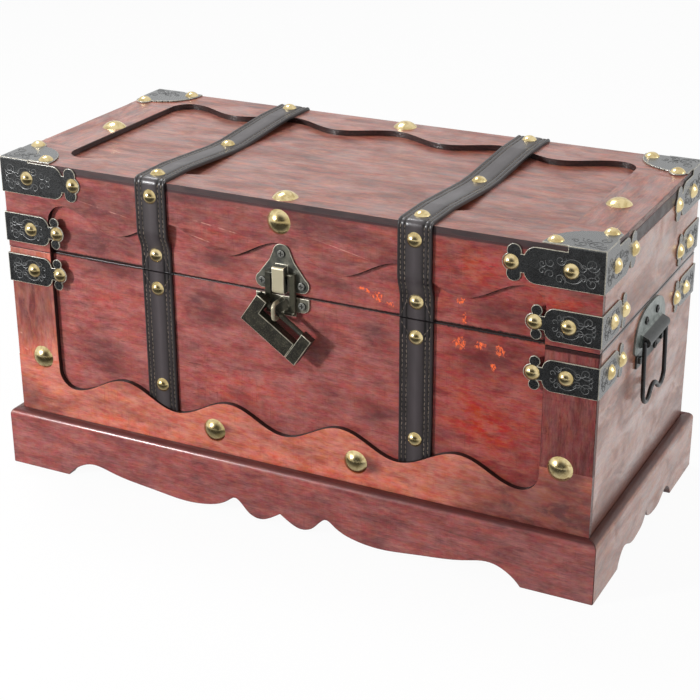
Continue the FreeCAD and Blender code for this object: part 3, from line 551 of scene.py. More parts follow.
@dataclass(frozen=True)
class PooledStainAndShade:
    """Painted shade with some pooled stain: black along the lid's joint, in the slit over the stiles and
    under the wavy edge.
    """

    seam: float
    slit_low: float
    slit_inner: float
    # the black painted for the shade and the pooled stain
    stain: Colour = (0.006, 0.004, 0.004)
    crisp: float = 0.5 * MM
    soft: float = 1.0 * MM
    ragged: float = 2.0 * MM
    seam_half: float = 0.9 * MM
    end_seam_half: float = 1.7 * MM
    seam_span: Span = (50 * MM, 120 * MM)
    seam_ragged: float = 1.2
    seam_blur: Span = (1.0, 1.9)
    wave_middle: float = 172.0 * MM
    wave_depth: float = 6.5 * MM
    wave_pitch: float = 74.0 * MM
    wave_wide: float = 2.0 * MM
    wave_ragged: float = 0.8
    wave_blur: Span = (0.7, 1.3)
    wave_end: Span = (9 * MM, 6 * MM)
    climb_span: Span = (-0.7, 0.3)
    climb_least: float = 0.12

    def mask(self, graph: Graph, on_front: bool) -> Socket:
        """Draw how black the pooled stain and painted shade are.

        Args:
            graph: The material's nodes.
            on_front: Whether the board has the slit and the wavy edge too.

        Returns:
            The value socket.
        """
        ragged = graph.even_noise(self.ragged, detail=3.0, rough=0.6)
        height = graph.axis("Z")
        reach = graph.reach("X")
        off = graph.reckon("ABSOLUTE", graph.reckon("SUBTRACT", height, self.seam))
        half = graph.fade(reach, *self.seam_span, self.seam_half, self.end_seam_half)
        off = graph.total((graph.reckon("DIVIDE", off, half), 1.0), (ragged, self.seam_ragged))
        black = graph.fade(off, *self.seam_blur, 1.0, 0.0)
        if not on_front:
            return black
        slit = self.slit(graph, reach, height)
        wave = self.wave(graph, reach, height, ragged)
        return graph.reckon("MAXIMUM", black, graph.reckon("MAXIMUM", slit, wave))

    def slit(self, graph: Graph, reach: Socket, height: Socket) -> Socket:
        """Draw the painted shadow in the slit between a stile's top and the lid.

        Args:
            graph: The material's nodes.
            reach: Distance from the chest's middle.
            height: Height on the chest.

        Returns:
            The value socket.
        """
        return graph.product(
            graph.fade(reach, self.slit_inner - self.crisp, self.slit_inner),
            graph.fade(height, self.slit_low - self.soft, self.slit_low - self.crisp),
            graph.fade(height, self.seam, self.seam + self.crisp, 1.0, 0.0),
        )

    def wave(self, graph: Graph, reach: Socket, height: Socket, ragged: Socket) -> Socket:
        """Draw the painted shadow under the lid overlay's wavy edge, which is darkest where the wave
        climbs.

        Args:
            graph: The material's nodes.
            reach: Distance from the chest's middle.
            height: Height on the chest.
            ragged: The noise that frays the line.

        Returns:
            The value socket.
        """
        turn = graph.reckon("MULTIPLY", graph.axis("X"), 2 * math.pi / self.wave_pitch)
        rise = graph.reckon("MULTIPLY", graph.reckon("COSINE", turn), self.wave_depth)
        under = graph.reckon("ADD", graph.total((rise, 1.0), (height, -1.0)), self.wave_middle)
        under = graph.total((under, 1.0), (ragged, self.wave_ragged * self.wave_wide))
        thin, thick = (self.wave_wide * share for share in self.wave_blur)
        outer, inner = (self.slit_inner - gap for gap in self.wave_end)
        return graph.product(
            graph.fade(under, thin, thick, 1.0, 0.0),
            graph.fade(graph.reckon("SINE", turn), *self.climb_span, 1.0, self.climb_least),
            graph.fade(height, self.seam, self.seam + self.soft),
            graph.fade(reach, outer, inner, 1.0, 0.0),
            graph.fade(graph.axis("Y"), -self.soft, self.soft, 1.0, 0.0),
        )


class Streak(NamedTuple):
    """A streaky noise of the wood: its size across and along the grain in millimetres, and settings."""

    across: float
    along: float
    detail: float
    rough: float
    bend: float = 0.0


@dataclass(frozen=True)
class WoodFigure:
    """How the grain, the rubbed stain and the wear are drawn: noises, their spans and shares."""

    fibre: Streak = Streak(0.8, 9, 5.0, 0.68)
    pores: Streak = Streak(0.55, 5, 2.0, 0.5)
    bands: Streak = Streak(4.5, 60, 3.0, 0.5, 0.6)
    cloud: Streak = Streak(7, 17, 7.0, 0.68, 0.5)
    haze: Streak = Streak(20, 44, 7.0, 0.68, 0.6)
    brush: Streak = Streak(16, 0.9, 4.0, 0.65)
    tint: Streak = Streak(3, 7, 6.0, 0.7)
    rub: Streak = Streak(4.3, 10, 6.0, 0.7)
    shift_ways: tuple[float, float, float] = (1.0, 0.7, 0.4)
    cloud_share: float = 0.46
    bands_share: float = 0.2
    fibre_share: float = 0.34
    tone_stops: tuple[float, float, float] = (0.36, 0.49, 0.62)
    haze_span: Span = (0.48, 0.68)
    brush_span: Span = (0.5, 0.8)
    brush_haze: Span = (0.35, 0.6)
    brush_share: float = 0.55
    pores_span: Span = (0.60, 0.72)
    pores_share: float = 0.6
    swing_span: Span = (0.35, 0.65)
    patch_span: Span = (0.36, 0.6)
    ember_share: Span = (0.2, 0.68)
    flake: tuple[float, float, float] = (1.5 * MM, 1.5 * MM, 2.3 * MM)
    flake_share: float = 2.6
    chip_span: Span = (2.20, 2.40)
    scratch_break: float = 6 * MM
    scratch_span: Span = (0.40, 0.60)
    scratch_share: float = 0.6
    eased_span: Span = (0.42, 0.62)
    eased_share: Span = (0.1, 0.6)
    end_span: Span = (0.4, 0.65)
    end_share: float = 0.3
    outer_span: Span = (0.4, 0.6)
    outer_deep: Span = (0.3 * MM, 0.1 * MM)
    square_span: Span = (0.62, 0.93)
    outward_span: Span = (0.3, 0.6)
    band_cloud: float = 1.6 * MM
    band_fibre: float = 1.2 * MM
    band_blur: float = 1.0 * MM
    band_share: float = 0.85
    rough_span: Span = (0.3, 0.7)
    rough: Span = (0.36, 0.52)
    gloss_span: Span = (0.36, 0.64)
    coat_rough: float = 0.2
    brush_rise: float = 0.5
    pores_rise: float = -0.5
    relief: float = 0.12 * MM
    relief_share: float = 0.45


@dataclass(frozen=True)
class WoodFinish:
    """A stain rubbed over a board, with smoky patches, brush streaks and dark edges."""

    name: str
    grain: Grain
    facing: Facing
    tones: Tones
    smoky: Colour = (0.095, 0.027, 0.027)
    shift: float = 0.0
    edge: Colour = (0.006, 0.004, 0.004)
    edge_share: float = 0.97
    smoke: float = 0.38
    smoked: Span = (0.78, 0.45)
    gloss: float = 0.5
    gloss_swing: float = 0.15
    hue_swing: float = 0.009
    tone_swing: float = 0.09
    # painted shade: a marked board's stain deepens and reddens towards the right
    right_shade: float = 0.10
    right_shade_span: Span = (40 * MM, 120 * MM)
    shine: float = 0.5
    chip: Colour = (0.85, 0.13, 0.03)
    ember: Colour = (0.43, 0.074, 0.053)
    scratch: Colour = (0.60, 0.30, 0.24)
    outer: Colour = (0.23, 0.185, 0.165)
    outer_end: float = 1.0
    band: Colour = (0.032, 0.019, 0.022)
    band_low: float = 1.0
    # painted shade: an end board darkens towards its foot by the plinth
    foot: float = -1.0
    foot_tall: float = 22 * MM
    foot_share: float = 0.75
    foot_shade: Colour = (0.10, 0.030, 0.022)
    marked: bool = False
    pooled_stain_and_shade: PooledStainAndShade | None = None
    look: WoodFigure = WoodFigure()

    def streaks(self, graph: Graph, streak: Streak) -> Socket:
        """Draw a noise that follows the grain.

        Args:
            graph: The material's nodes.
            streak: The noise.

        Returns:
            The value socket.
        """
        size = [streak.across * MM] * 3
        size[self.grain.value] = streak.along * MM
        place = [self.shift * way for way in self.look.shift_ways]
        return graph.noise(graph.placed(size, place), streak.detail, streak.rough, streak.bend)

    def material(self) -> Material:
        """Build the wood.

        Returns:
            The material.
        """
        look = self.look
        graph = Graph(self.name)
        fibre = self.streaks(graph, look.fibre)
        pores = self.streaks(graph, look.pores)
        cloud = self.streaks(graph, look.cloud)
        haze = self.streaks(graph, look.haze)
        brush = self.streaks(graph, look.brush)
        facing = graph.slope(self.facing.value)
        stain = self.stained(graph, cloud, fibre)
        stain = graph.mix(graph.fade(haze, *look.haze_span, 0.0, self.smoke), stain, self.smoky)
        hazy = graph.fade(haze, *look.brush_haze, 0.0, look.brush_share)
        streak = graph.product(graph.fade(brush, *look.brush_span), hazy)
        stain = graph.mix(streak, stain, self.tones.deep)
        open_pores = graph.fade(pores, *look.pores_span, 0.0, look.pores_share)
        stain = graph.mix(open_pores, stain, self.tones.deep)
        stain = self.toned(graph, stain)
        if self.marked:
            stain = self.worn(graph, stain)
        stain = self.edged(graph, stain, fibre, facing)
        stain = self.shaded(graph, stain, cloud, fibre)
        # black pooled stain and painted shade at the lid's joint, the stile slits and the wavy edge
        if self.pooled_stain_and_shade:
            black = self.pooled_stain_and_shade.mask(graph, self.facing is Facing.FRONT)
            outside = graph.product(black, graph.fade(facing, *look.outward_span))
            stain = graph.mix(outside, stain, self.pooled_stain_and_shade.stain)
        patchy = graph.fade(haze, *look.gloss_span, 1 + self.gloss_swing, 1 - self.gloss_swing)
        coat = graph.product(graph.fade(facing, *look.square_span, 0.0, self.gloss), patchy)
        graph.assign(Base_Color=stain, Roughness=graph.fade(cloud, *look.rough_span, *look.rough))
        graph.assign(Coat_Weight=coat, Coat_Roughness=look.coat_rough, Specular_IOR_Level=self.shine)
        height = graph.total((fibre, 1.0), (brush, look.brush_rise), (pores, look.pores_rise))
        graph.bump(height, look.relief, look.relief_share)
        return graph.material

    def stained(self, graph: Graph, cloud: Socket, fibre: Socket) -> Socket:
        """Draw the stain's tones, with the smoky and the bright patches of a marked board; one dark patch
        is painted shadow by the padlock.

        Args:
            graph: The material's nodes.
            cloud: The noise of the rubbed stain.
            fibre: The noise of the grain.

        Returns:
            The colour socket.
        """
        look = self.look
        bands = self.streaks(graph, look.bands)
        figure = graph.total(
            (cloud, look.cloud_share), (bands, look.bands_share), (fibre, look.fibre_share)
        )
        stain = graph.ramp(figure, list(zip(look.tone_stops, self.tones)))
        if not self.marked:
            return stain
        shared = graph.fade(cloud, *look.patch_span, *look.ember_share)
        stain = graph.mix(graph.product(joined_masks(graph, EMBERS), shared), stain, self.ember)
        shared = graph.fade(cloud, *look.patch_span, *self.smoked)
        return graph.mix(graph.product(joined_masks(graph, SMOKE_AND_SHADE), shared), stain, self.smoky)

    def toned(self, graph: Graph, stain: Socket) -> Socket:
        """Vary the stain's hue and strength, and deepen a marked board's stain towards the right as painted
        shade.

        Args:
            graph: The material's nodes.
            stain: The stain.

        Returns:
            The colour socket.
        """
        span = self.look.swing_span
        tint = self.streaks(graph, self.look.tint)
        rub = self.streaks(graph, self.look.rub)
        hue = graph.fade(tint, *span, 0.5 - self.hue_swing, 0.5 + self.hue_swing)
        tone = graph.fade(rub, *span, 1 - self.tone_swing, 1 + self.tone_swing)
        # painted shade, deeper towards the right
        if self.marked:
            right_shade_mask = graph.fade(graph.axis("X"), *self.right_shade_span)
            tone = graph.total((tone, 1.0), (right_shade_mask, self.right_shade))
        return graph.tinted(stain, hue, tone)

    def worn(self, graph: Graph, stain: Socket) -> Socket:
        """Put the orange chips and the pale scratches on the stain.

        Args:
            graph: The material's nodes.
            stain: The stain.

        Returns:
            The colour socket.
        """
        look = self.look
        flake = graph.noise(graph.placed(look.flake), detail=5.0, rough=0.72, bend=0.5)
        ragged = graph.total((joined_masks(graph, CHIPS), 1.0), (flake, look.flake_share))
        stain = graph.mix(graph.fade(ragged, *look.chip_span), stain, self.chip)
        broken = graph.even_noise(look.scratch_break, detail=2.0, rough=0.5)
        whole = graph.fade(broken, *look.scratch_span, 0.0, look.scratch_share)
        return graph.mix(graph.product(joined_masks(graph, SCRATCHES), whole), stain, self.scratch)

    def edged(self, graph: Graph, stain: Socket, fibre: Socket, facing: Socket) -> Socket:
        """Darken the eased edges and the faces that aren't the board's shown side.

        Args:
            graph: The material's nodes.
            stain: The stain.
            fibre: The noise of the grain.
            facing: How squarely the surface faces the board's shown side.

        Returns:
            The colour socket.
        """
        look = self.look
        grainy = graph.fade(fibre, *look.eased_span, *look.eased_share)
        stain = graph.mix(graph.product(graph.attribute(EDGE), grainy), stain, self.tones.deep)
        ends = graph.fade(fibre, *look.end_span, 0.0, look.end_share)
        end_grain = graph.mix(ends, self.edge, self.smoky)
        pale = graph.mix(graph.fade(fibre, *look.outer_span), self.outer, self.smoky)
        near, far = (self.outer_end - deep for deep in look.outer_deep)
        end_grain = graph.mix(graph.fade(graph.reach("X"), near, far), end_grain, pale)
        return graph.mix(graph.fade(facing, *look.square_span, self.edge_share, 0.0), stain, end_grain)

    def shaded(self, graph: Graph, stain: Socket, cloud: Socket, fibre: Socket) -> Socket:
        """Put the dark band along a board's top, which on the right stile is a painted shadow, and the
        painted shade at its foot on the stain.

        Args:
            graph: The material's nodes.
            stain: The stain.
            cloud: The noise of the rubbed stain.
            fibre: The noise of the grain.

        Returns:
            The colour socket.
        """
        look = self.look
        height = graph.axis("Z")
        frayed = graph.total((height, 1.0), (cloud, look.band_cloud), (fibre, look.band_fibre))
        band_full = self.band_low + look.band_blur
        band = graph.fade(frayed, self.band_low, band_full, 0.0, look.band_share)
        stain = graph.mix(band, stain, self.band)
        # painted shade, darker towards the foot by the plinth
        foot_shade_mask = graph.fade(height, self.foot, self.foot + self.foot_tall, self.foot_share, 0.0)
        return graph.mix(foot_shade_mask, stain, self.foot_shade)


@dataclass(frozen=True)
class PaintedLight:
    """The part of a metal piece past a level, and the colour painted on it for the light and shade that
    fall there.
    """

    axis: str
    level: float
    colour: Colour
    share: float = 0.85
    blur: float = 0.4 * MM
    below: bool = False

    def mask(self, graph: Graph) -> Socket:
        """Draw the part's mask.

        Args:
            graph: The material's nodes.

        Returns:
            A value socket, the share past the level and 0 before it, or the other way.
        """
        ends = (self.share, 0.0) if self.below else (0.0, self.share)
        return graph.fade(graph.reach(self.axis), self.level - self.blur, self.level + self.blur, *ends)


@dataclass(frozen=True)
class MetalFinish:
    """Sheet or cast metal with a mottled skin, edges that are rubbed bright, and painted light and shade on
    some parts.
    """

    name: str
    base: Colour
    tarnish: Colour
    worn: Colour
    metallic: float
    roughness: float
    shine: float = 1.5
    wear: Span = (0.35, 0.85)
    wear_span: Span = (0.30, 0.60)
    mottle: float = 6 * MM
    mottle_span: Span = (0.36, 0.66)
    speck: float = 0.7 * MM
    speck_span: Span = (0.3, 0.7)
    rough_swing: Span = (0.85, 1.2)
    relief: float = 0.05 * MM
    grit: float = 0.35
    painted_light: tuple[PaintedLight, ...] = ()
    fleck: Colour | None = None
    fleck_size: float = 0.9 * MM
    fleck_span: Span = (0.52, 0.66)
    fleck_share: float = 0.6

    def material(self) -> Material:
        """Build the metal.

        Returns:
            The material.
        """
        graph = Graph(self.name)
        patch = graph.even_noise(self.mottle, detail=4.0, rough=0.6, bend=0.4)
        speck = graph.even_noise(self.speck, detail=3.0, rough=0.6)
        skin = graph.mix(graph.fade(patch, *self.mottle_span), self.base, self.tarnish)
        if self.fleck:
            chased = graph.even_noise(self.fleck_size, detail=3.0, rough=0.65, bend=1.5)
            skin = graph.mix(graph.fade(chased, *self.fleck_span, 0.0, self.fleck_share), skin, self.fleck)
        # painted light and shade on the parts past a level
        for part in self.painted_light:
            skin = graph.mix(part.mask(graph), skin, part.colour)
        rubbed = graph.product(graph.attribute(EDGE), graph.fade(patch, *self.wear_span, *self.wear))
        smooth, coarse = (self.roughness * swing for swing in self.rough_swing)
        graph.assign(Base_Color=graph.mix(rubbed, skin, self.worn), Metallic=self.metallic, IOR=self.shine)
        graph.assign(Roughness=graph.fade(speck, *self.speck_span, smooth, coarse))
        graph.bump(speck, self.relief, self.grit)
        return graph.material


@dataclass(frozen=True)
class LeatherFinish:
    """Dark strap leather with a lighter middle, partly rubbed and partly painted sheen, dark stitch grooves
    and a fine pebble grain.
    """

    name: str
    base: Colour
    # the lighter middle: rubbed leather and painted sheen
    rubbed: Colour
    groove: Colour
    middle: float
    half_width: float
    rows: tuple[float, ...]
    roughness: float = 0.33
    rough_swing: float = 1.25
    rubbed_sheen_share: float = 0.44
    groove_half: float = 0.03
    groove_end: float = 0.10
    patch: tuple[float, float, float] = (9 * MM, 22 * MM, 22 * MM)
    dull_span: Span = (0.35, 0.7)
    dull_share: float = 0.5
    rough_span: Span = (0.3, 0.7)
    pebble: float = 0.75 * MM
    relief: float = 0.08 * MM
    relief_share: float = 0.35
    shine: float = 1.6

    def material(self) -> Material:
        """Build the leather.

        Returns:
            The material.
        """
        graph = Graph(self.name)
        pebble = graph.cells(self.pebble)
        patch = graph.noise(graph.placed(self.patch), detail=3.0, rough=0.55)
        from_middle = graph.reckon("SUBTRACT", graph.reach("X"), self.middle)
        spread = graph.reckon("DIVIDE", graph.reckon("ABSOLUTE", from_middle), self.half_width)
        stops = [(0.0, self.rubbed), (self.rubbed_sheen_share, self.base)]
        for row in self.rows:
            place = row / self.half_width
            stops.append((place - self.groove_half, self.groove))
            stops.append((place + self.groove_half, self.groove))
            stops.append((place + self.groove_end, self.base))
        stops.append((1.0, self.groove))
        section = graph.ramp(spread, stops)
        dull = graph.fade(patch, *self.dull_span, 0.0, self.dull_share)
        rough = graph.fade(patch, *self.rough_span, self.roughness, self.roughness * self.rough_swing)
        graph.assign(Base_Color=graph.mix(dull, section, self.base), Roughness=rough, IOR=self.shine)
        graph.bump(pebble, self.relief, self.relief_share)
        return graph.material


@dataclass(frozen=True)
class ThreadFinish:
    """Waxed sewing thread."""

    name: str
    base: Colour
    soiled: Colour
    soil: float = 8 * MM
    soil_span: Span = (0.35, 0.65)
    roughness: float = 0.7

    def material(self) -> Material:
        """Build the thread.

        Returns:
            The material.
        """
        graph = Graph(self.name)
        soil = graph.even_noise(self.soil, detail=3.0, rough=0.6)
        colour = graph.mix(graph.fade(soil, *self.soil_span), self.base, self.soiled)
        graph.assign(Base_Color=colour, Roughness=self.roughness)
        return graph.material


def merged_copy(node: str) -> Mesh:
    """Copy a CAD node's mesh, merged and with its flat faces made whole.

    Args:
        node: The CAD node.

    Returns:
        The copy.
    """
    bm = bmesh.new()
    bm.from_mesh(frame["nodes"][node].data)
    bmesh.ops.remove_doubles(bm, verts=bm.verts[:], dist=MERGE)
    bmesh.ops.dissolve_limit(bm, angle_limit=FLAT, verts=bm.verts[:], edges=bm.edges[:])
    return bm


def ease_edges(
    bm: Mesh, width: float, steps: int = 2, stay_sharp: EdgeTest | None = None, clamp: bool = True
) -> None:
    """Round the sharp edges of a mesh and mark the new faces.

    Args:
        bm: The mesh.
        width: How far the rounding reaches from each edge.
        steps: How many faces make up the rounding.
        stay_sharp: A test of an edge's middle that leaves the edge as it is.
        clamp: Whether the rounding narrows everywhere where it would meet itself somewhere.
    """
    layer = bm.faces.layers.float.new(EDGE)
    sharp = []
    for edge in bm.edges:
        if not edge.is_manifold or edge.calc_face_angle(0.0) < SHARP:
            continue
        middle = (edge.verts[0].co + edge.verts[1].co) / 2
        if stay_sharp is None or not stay_sharp(middle):
            sharp.append(edge)
    made = bmesh.ops.bevel(
        bm, geom=sharp, offset=width, offset_type="OFFSET", segments=steps, profile=0.5,
        affect="EDGES", material=-1, clamp_overlap=clamp,
    )
    for face in made["faces"]:
        face[layer] = 1.0


def edge_test(axis: int, level: float, reach: float) -> EdgeTest:
    """Make a test of whether an edge lies at a level, on either side of the chest's middle.

    Args:
        axis: The axis that the level is measured along.
        level: The level.
        reach: How far from the level an edge may lie.

    Returns:
        The test of an edge's middle.
    """
    def lies_there(middle: Vector) -> bool:
        """Whether an edge's middle lies at the level."""
        return abs(abs(middle[axis]) - level) < reach

    return lies_there


def sweep(bm: Mesh, stations: Sequence[Station], profile: Profile) -> None:
    """Add a closed bar whose section follows stations.

    Args:
        bm: The mesh that gets the bar.
        stations: The stops along it, the last on the first where it closes on itself.
        profile: The section's corners, as pairs of distances across and out.
    """
    rows = len(stations) - 1
    columns = len(profile)
    made = bmesh.ops.create_grid(bm, x_segments=rows, y_segments=columns, size=0.5)
    for vert in made["verts"]:
        stop = stations[round((vert.co.x + 0.5) * rows)]
        across, out = profile[round((vert.co.y + 0.5) * columns) % columns]
        vert.co = stop.place + stop.across * across + stop.out * out
    bmesh.ops.remove_doubles(bm, verts=made["verts"], dist=MERGE)
    open_edges = [edge for edge in bm.edges if edge.is_boundary]
    if open_edges:
        bmesh.ops.holes_fill(bm, edges=open_edges, sides=0)


def ring(radius: float, sides: int) -> Profile:
    """The corners of a round section, in order."""
    turns = [2 * math.pi * i / sides for i in range(sides)]
    return [(radius * math.cos(turn), radius * math.sin(turn)) for turn in turns]


def join_into(whole: Mesh, bm: Mesh) -> None:
    """Move a mesh into another and free it.

    Args:
        whole: The mesh that gets the other.
        bm: The mesh that is moved.
    """
    mesh = bpy.data.meshes.new("joined")
    bm.to_mesh(mesh)
    bm.free()
    whole.from_mesh(mesh)
    bpy.data.meshes.remove(mesh)


def add_piece(
    name: str, bm: Mesh, material: Material, body: str,
    nodes: Iterable[str] = (), turned: bool = False,
) -> None:
    """Turn a mesh into a piece of the chest.

    Args:
        name: The piece's name.
        bm: Its mesh, which is freed.
        material: Its finish.
        body: The CAD body that it moves with.
        nodes: The CAD nodes that it stands for.
        turned: Whether its faces still have to be turned outwards.
    """
    if turned:
        bmesh.ops.recalc_face_normals(bm, faces=bm.faces[:])
    mesh = bpy.data.meshes.new(name)
    bm.to_mesh(mesh)
    bm.free()
    mesh.materials.append(material)
    mesh.shade_smooth()
    mesh.set_sharp_from_angle(angle=SMOOTH_PIECE)
    piece = bpy.data.objects.new(name, mesh)
    bpy.context.scene.collection.objects.link(piece)
    weigh = piece.modifiers.new("even_shading", "WEIGHTED_NORMAL")
    weigh.keep_sharp = True
    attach(piece, body)
    if nodes:
        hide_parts(*nodes)
    log.info("%s: %d faces on %s", name, len(mesh.polygons), body)


def body_of(node: str) -> str:
    """The CAD body that a node moves with."""
    return frame["nodes"][node]["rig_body"]


def middle_x(node: str) -> float:
    """The x of a CAD node's middle."""
    return sum(corner.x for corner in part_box(node)) / 2


def eased_piece(
    node: str, suffix: str, width: float, material: Material,
    steps: int = 2, stay_sharp: EdgeTest | None = None, clamp: bool = True,
) -> None:
    """Stand a copy of a CAD node with eased edges in for the node.

    Args:
        node: The CAD node.
        suffix: What the piece's name has after the node's.
        width: How far the easing reaches from each edge.
        material: The finish.
        steps: How many faces make up the easing.
        stay_sharp: A test of an edge's middle that leaves the edge as it is.
        clamp: Whether the easing narrows everywhere where it would meet itself somewhere.
    """
    bm = merged_copy(node)
    ease_edges(bm, width, steps, stay_sharp, clamp)
    add_piece(f"{node}_{suffix}", bm, material, body_of(node), [node])


def dress_node(node: str, material: Material) -> None:
    """Give a CAD node that stays a finish.

    Args:
        node: The CAD node.
        material: The finish.
    """
    mesh = frame["nodes"][node].data
    mesh.materials.clear()
    mesh.materials.append(material)
    mesh.shade_smooth()
    mesh.set_sharp_from_angle(angle=SMOOTH_NODE)
    log.info("%s: CAD node with %s", node, material.name)


@dataclass
class Boards:
    """The wooden carcass, its overlay frames and the plinth."""

    carcass_ease: float = 0.5 * MM
    overlay_ease: float = 0.55 * MM
    overlay_steps: int = 3
    plinth_ease: float = 0.8 * MM
    joint_reach: float = 0.4 * MM
    band_tall: float = 0.6 * MM
    shade_tall: float = 1.6 * MM
    satin: float = 0.28
    matt: float = 0.05
    maroon: Colour = (0.055, 0.012, 0.011)
    grey: Colour = (0.030, 0.021, 0.023)
    rim: Colour = (0.085, 0.027, 0.022)
    end_rim: Colour = (0.15, 0.048, 0.038)
    ash: Colour = (0.115, 0.050, 0.038)
    pale: Colour = (0.24, 0.165, 0.135)
    # painted shadow in the slit over the right stile
    black: Colour = (0.008, 0.006, 0.006)
    bright: Colour = (0.66, 0.155, 0.095)
    scorched: Span = (0.92, 0.66)

    def finishes(self) -> dict[str, Material]:
        """Build the stains of the boards.

        Returns:
            The materials by name.
        """
        seam = (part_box("box_front")[1].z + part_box("lid_front")[0].z) / 2
        stile_low, stile_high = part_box("box_stile_right")
        # painted shade and pooled stain along the lid's joint, the stile slits and the wavy edge
        pooled_stain_and_shade = PooledStainAndShade(seam, stile_high.z, stile_low.x)
        front = WoodFinish(
            "panel_stain", Grain.LENGTH, Facing.FRONT, RED,
            marked=True, shine=self.satin, outer_end=stile_high.x,
        )
        rail = replace(
            front, name="rail_stain", tones=WARM, ember=self.bright, right_shade=0.0, smoked=self.scorched,
            shift=0.57,
        )
        top = WoodFinish("top_stain", Grain.LENGTH, Facing.TOP, BROWN, gloss_swing=0.55, shift=0.22)
        end = WoodFinish(
            "end_stain", Grain.DEPTH, Facing.END, PLAIN, gloss_swing=0.55, smoky=self.ash, smoke=0.6
        )
        kinds = [
            replace(front, pooled_stain_and_shade=pooled_stain_and_shade, edge=self.rim),
            replace(
                front, name="lid_frame_stain", tones=DUSK, right_shade=0.05, shift=0.31,
                band_low=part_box("lid_front_frame")[1].z - self.band_tall,
            ),
            rail,
            replace(rail, name="stile_stain", grain=Grain.UPRIGHT, shift=0.83),
            # the right stile: a darker stain as painted shade, and a black painted shadow along its top
            # under the lid
            replace(
                front, name="stile_right_stain", grain=Grain.UPRIGHT, tones=SHADED_STILE, right_shade=0.0,
                shine=self.matt, shift=0.87, band_low=stile_high.z - self.shade_tall, band=self.black,
            ),
            top,
            replace(top, name="top_front_stain", shift=0.44, edge=self.grey),
            replace(top, name="top_back_stain", shift=0.5),
            replace(top, name="top_left_stain", grain=Grain.DEPTH, shift=0.66),
            replace(
                top, name="top_right_stain", grain=Grain.DEPTH, shift=0.7, outer=self.pale,
                outer_end=stile_high.x,
            ),
            # the ends: painted shade at the lid's joint and at the foot by the plinth
            replace(
                end, shift=0.12, gloss=0.7, pooled_stain_and_shade=pooled_stain_and_shade, edge=self.end_rim, foot=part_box("plinth_right")[1].z
            ),
            WoodFinish(
                "plinth_stain", Grain.LENGTH, Facing.FRONT, WINE, shift=0.71, edge=self.maroon,
                edge_share=0.8, shine=self.satin,
            ),
            replace(end, name="plinth_end_stain", shift=0.91, edge=self.maroon, edge_share=0.85),
        ]
        return {kind.name: kind.material() for kind in kinds}

    def build(self) -> None:
        """Make every board."""
        stain = self.finishes()
        for part in ("box", "lid"):
            for side in ("front", "back"):
                self.carcass(f"{part}_{side}", stain["panel_stain"])
            for side in ("left", "right"):
                self.carcass(f"{part}_end_{side}", stain["end_stain"])
        self.carcass("box_bottom", stain["top_stain"])
        self.carcass("lid_top", stain["top_stain"])
        stile_joint = edge_test(2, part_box("box_stile_right")[0].z, self.joint_reach)
        self.overlay("box_rail", stain["rail_stain"], stile_joint)
        self.overlay("box_stile_left", stain["stile_stain"], stile_joint)
        self.overlay("box_stile_right", stain["stile_right_stain"], stile_joint)
        self.overlay("lid_front_frame", stain["lid_frame_stain"])
        end_joint = edge_test(1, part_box("top_rail_right")[1].y, self.joint_reach)
        plinth_long = stain["plinth_stain"]
        plinth_end = stain["plinth_end_stain"]
        sides = {"front": plinth_long, "back": plinth_long, "left": plinth_end, "right": plinth_end}
        for side, plinth in sides.items():
            self.overlay(f"top_rail_{side}", stain[f"top_{side}_stain"], end_joint)
            eased_piece(f"plinth_{side}", "board", self.plinth_ease, plinth)

    def carcass(self, node: str, material: Material) -> None:
        """Make one board of the box or the lid."""
        eased_piece(node, "board", self.carcass_ease, material)

    def overlay(self, node: str, material: Material, stay_sharp: EdgeTest | None = None) -> None:
        """Make one board of the overlay frames."""
        eased_piece(
            node, "board", self.overlay_ease, material, self.overlay_steps, stay_sharp
        )


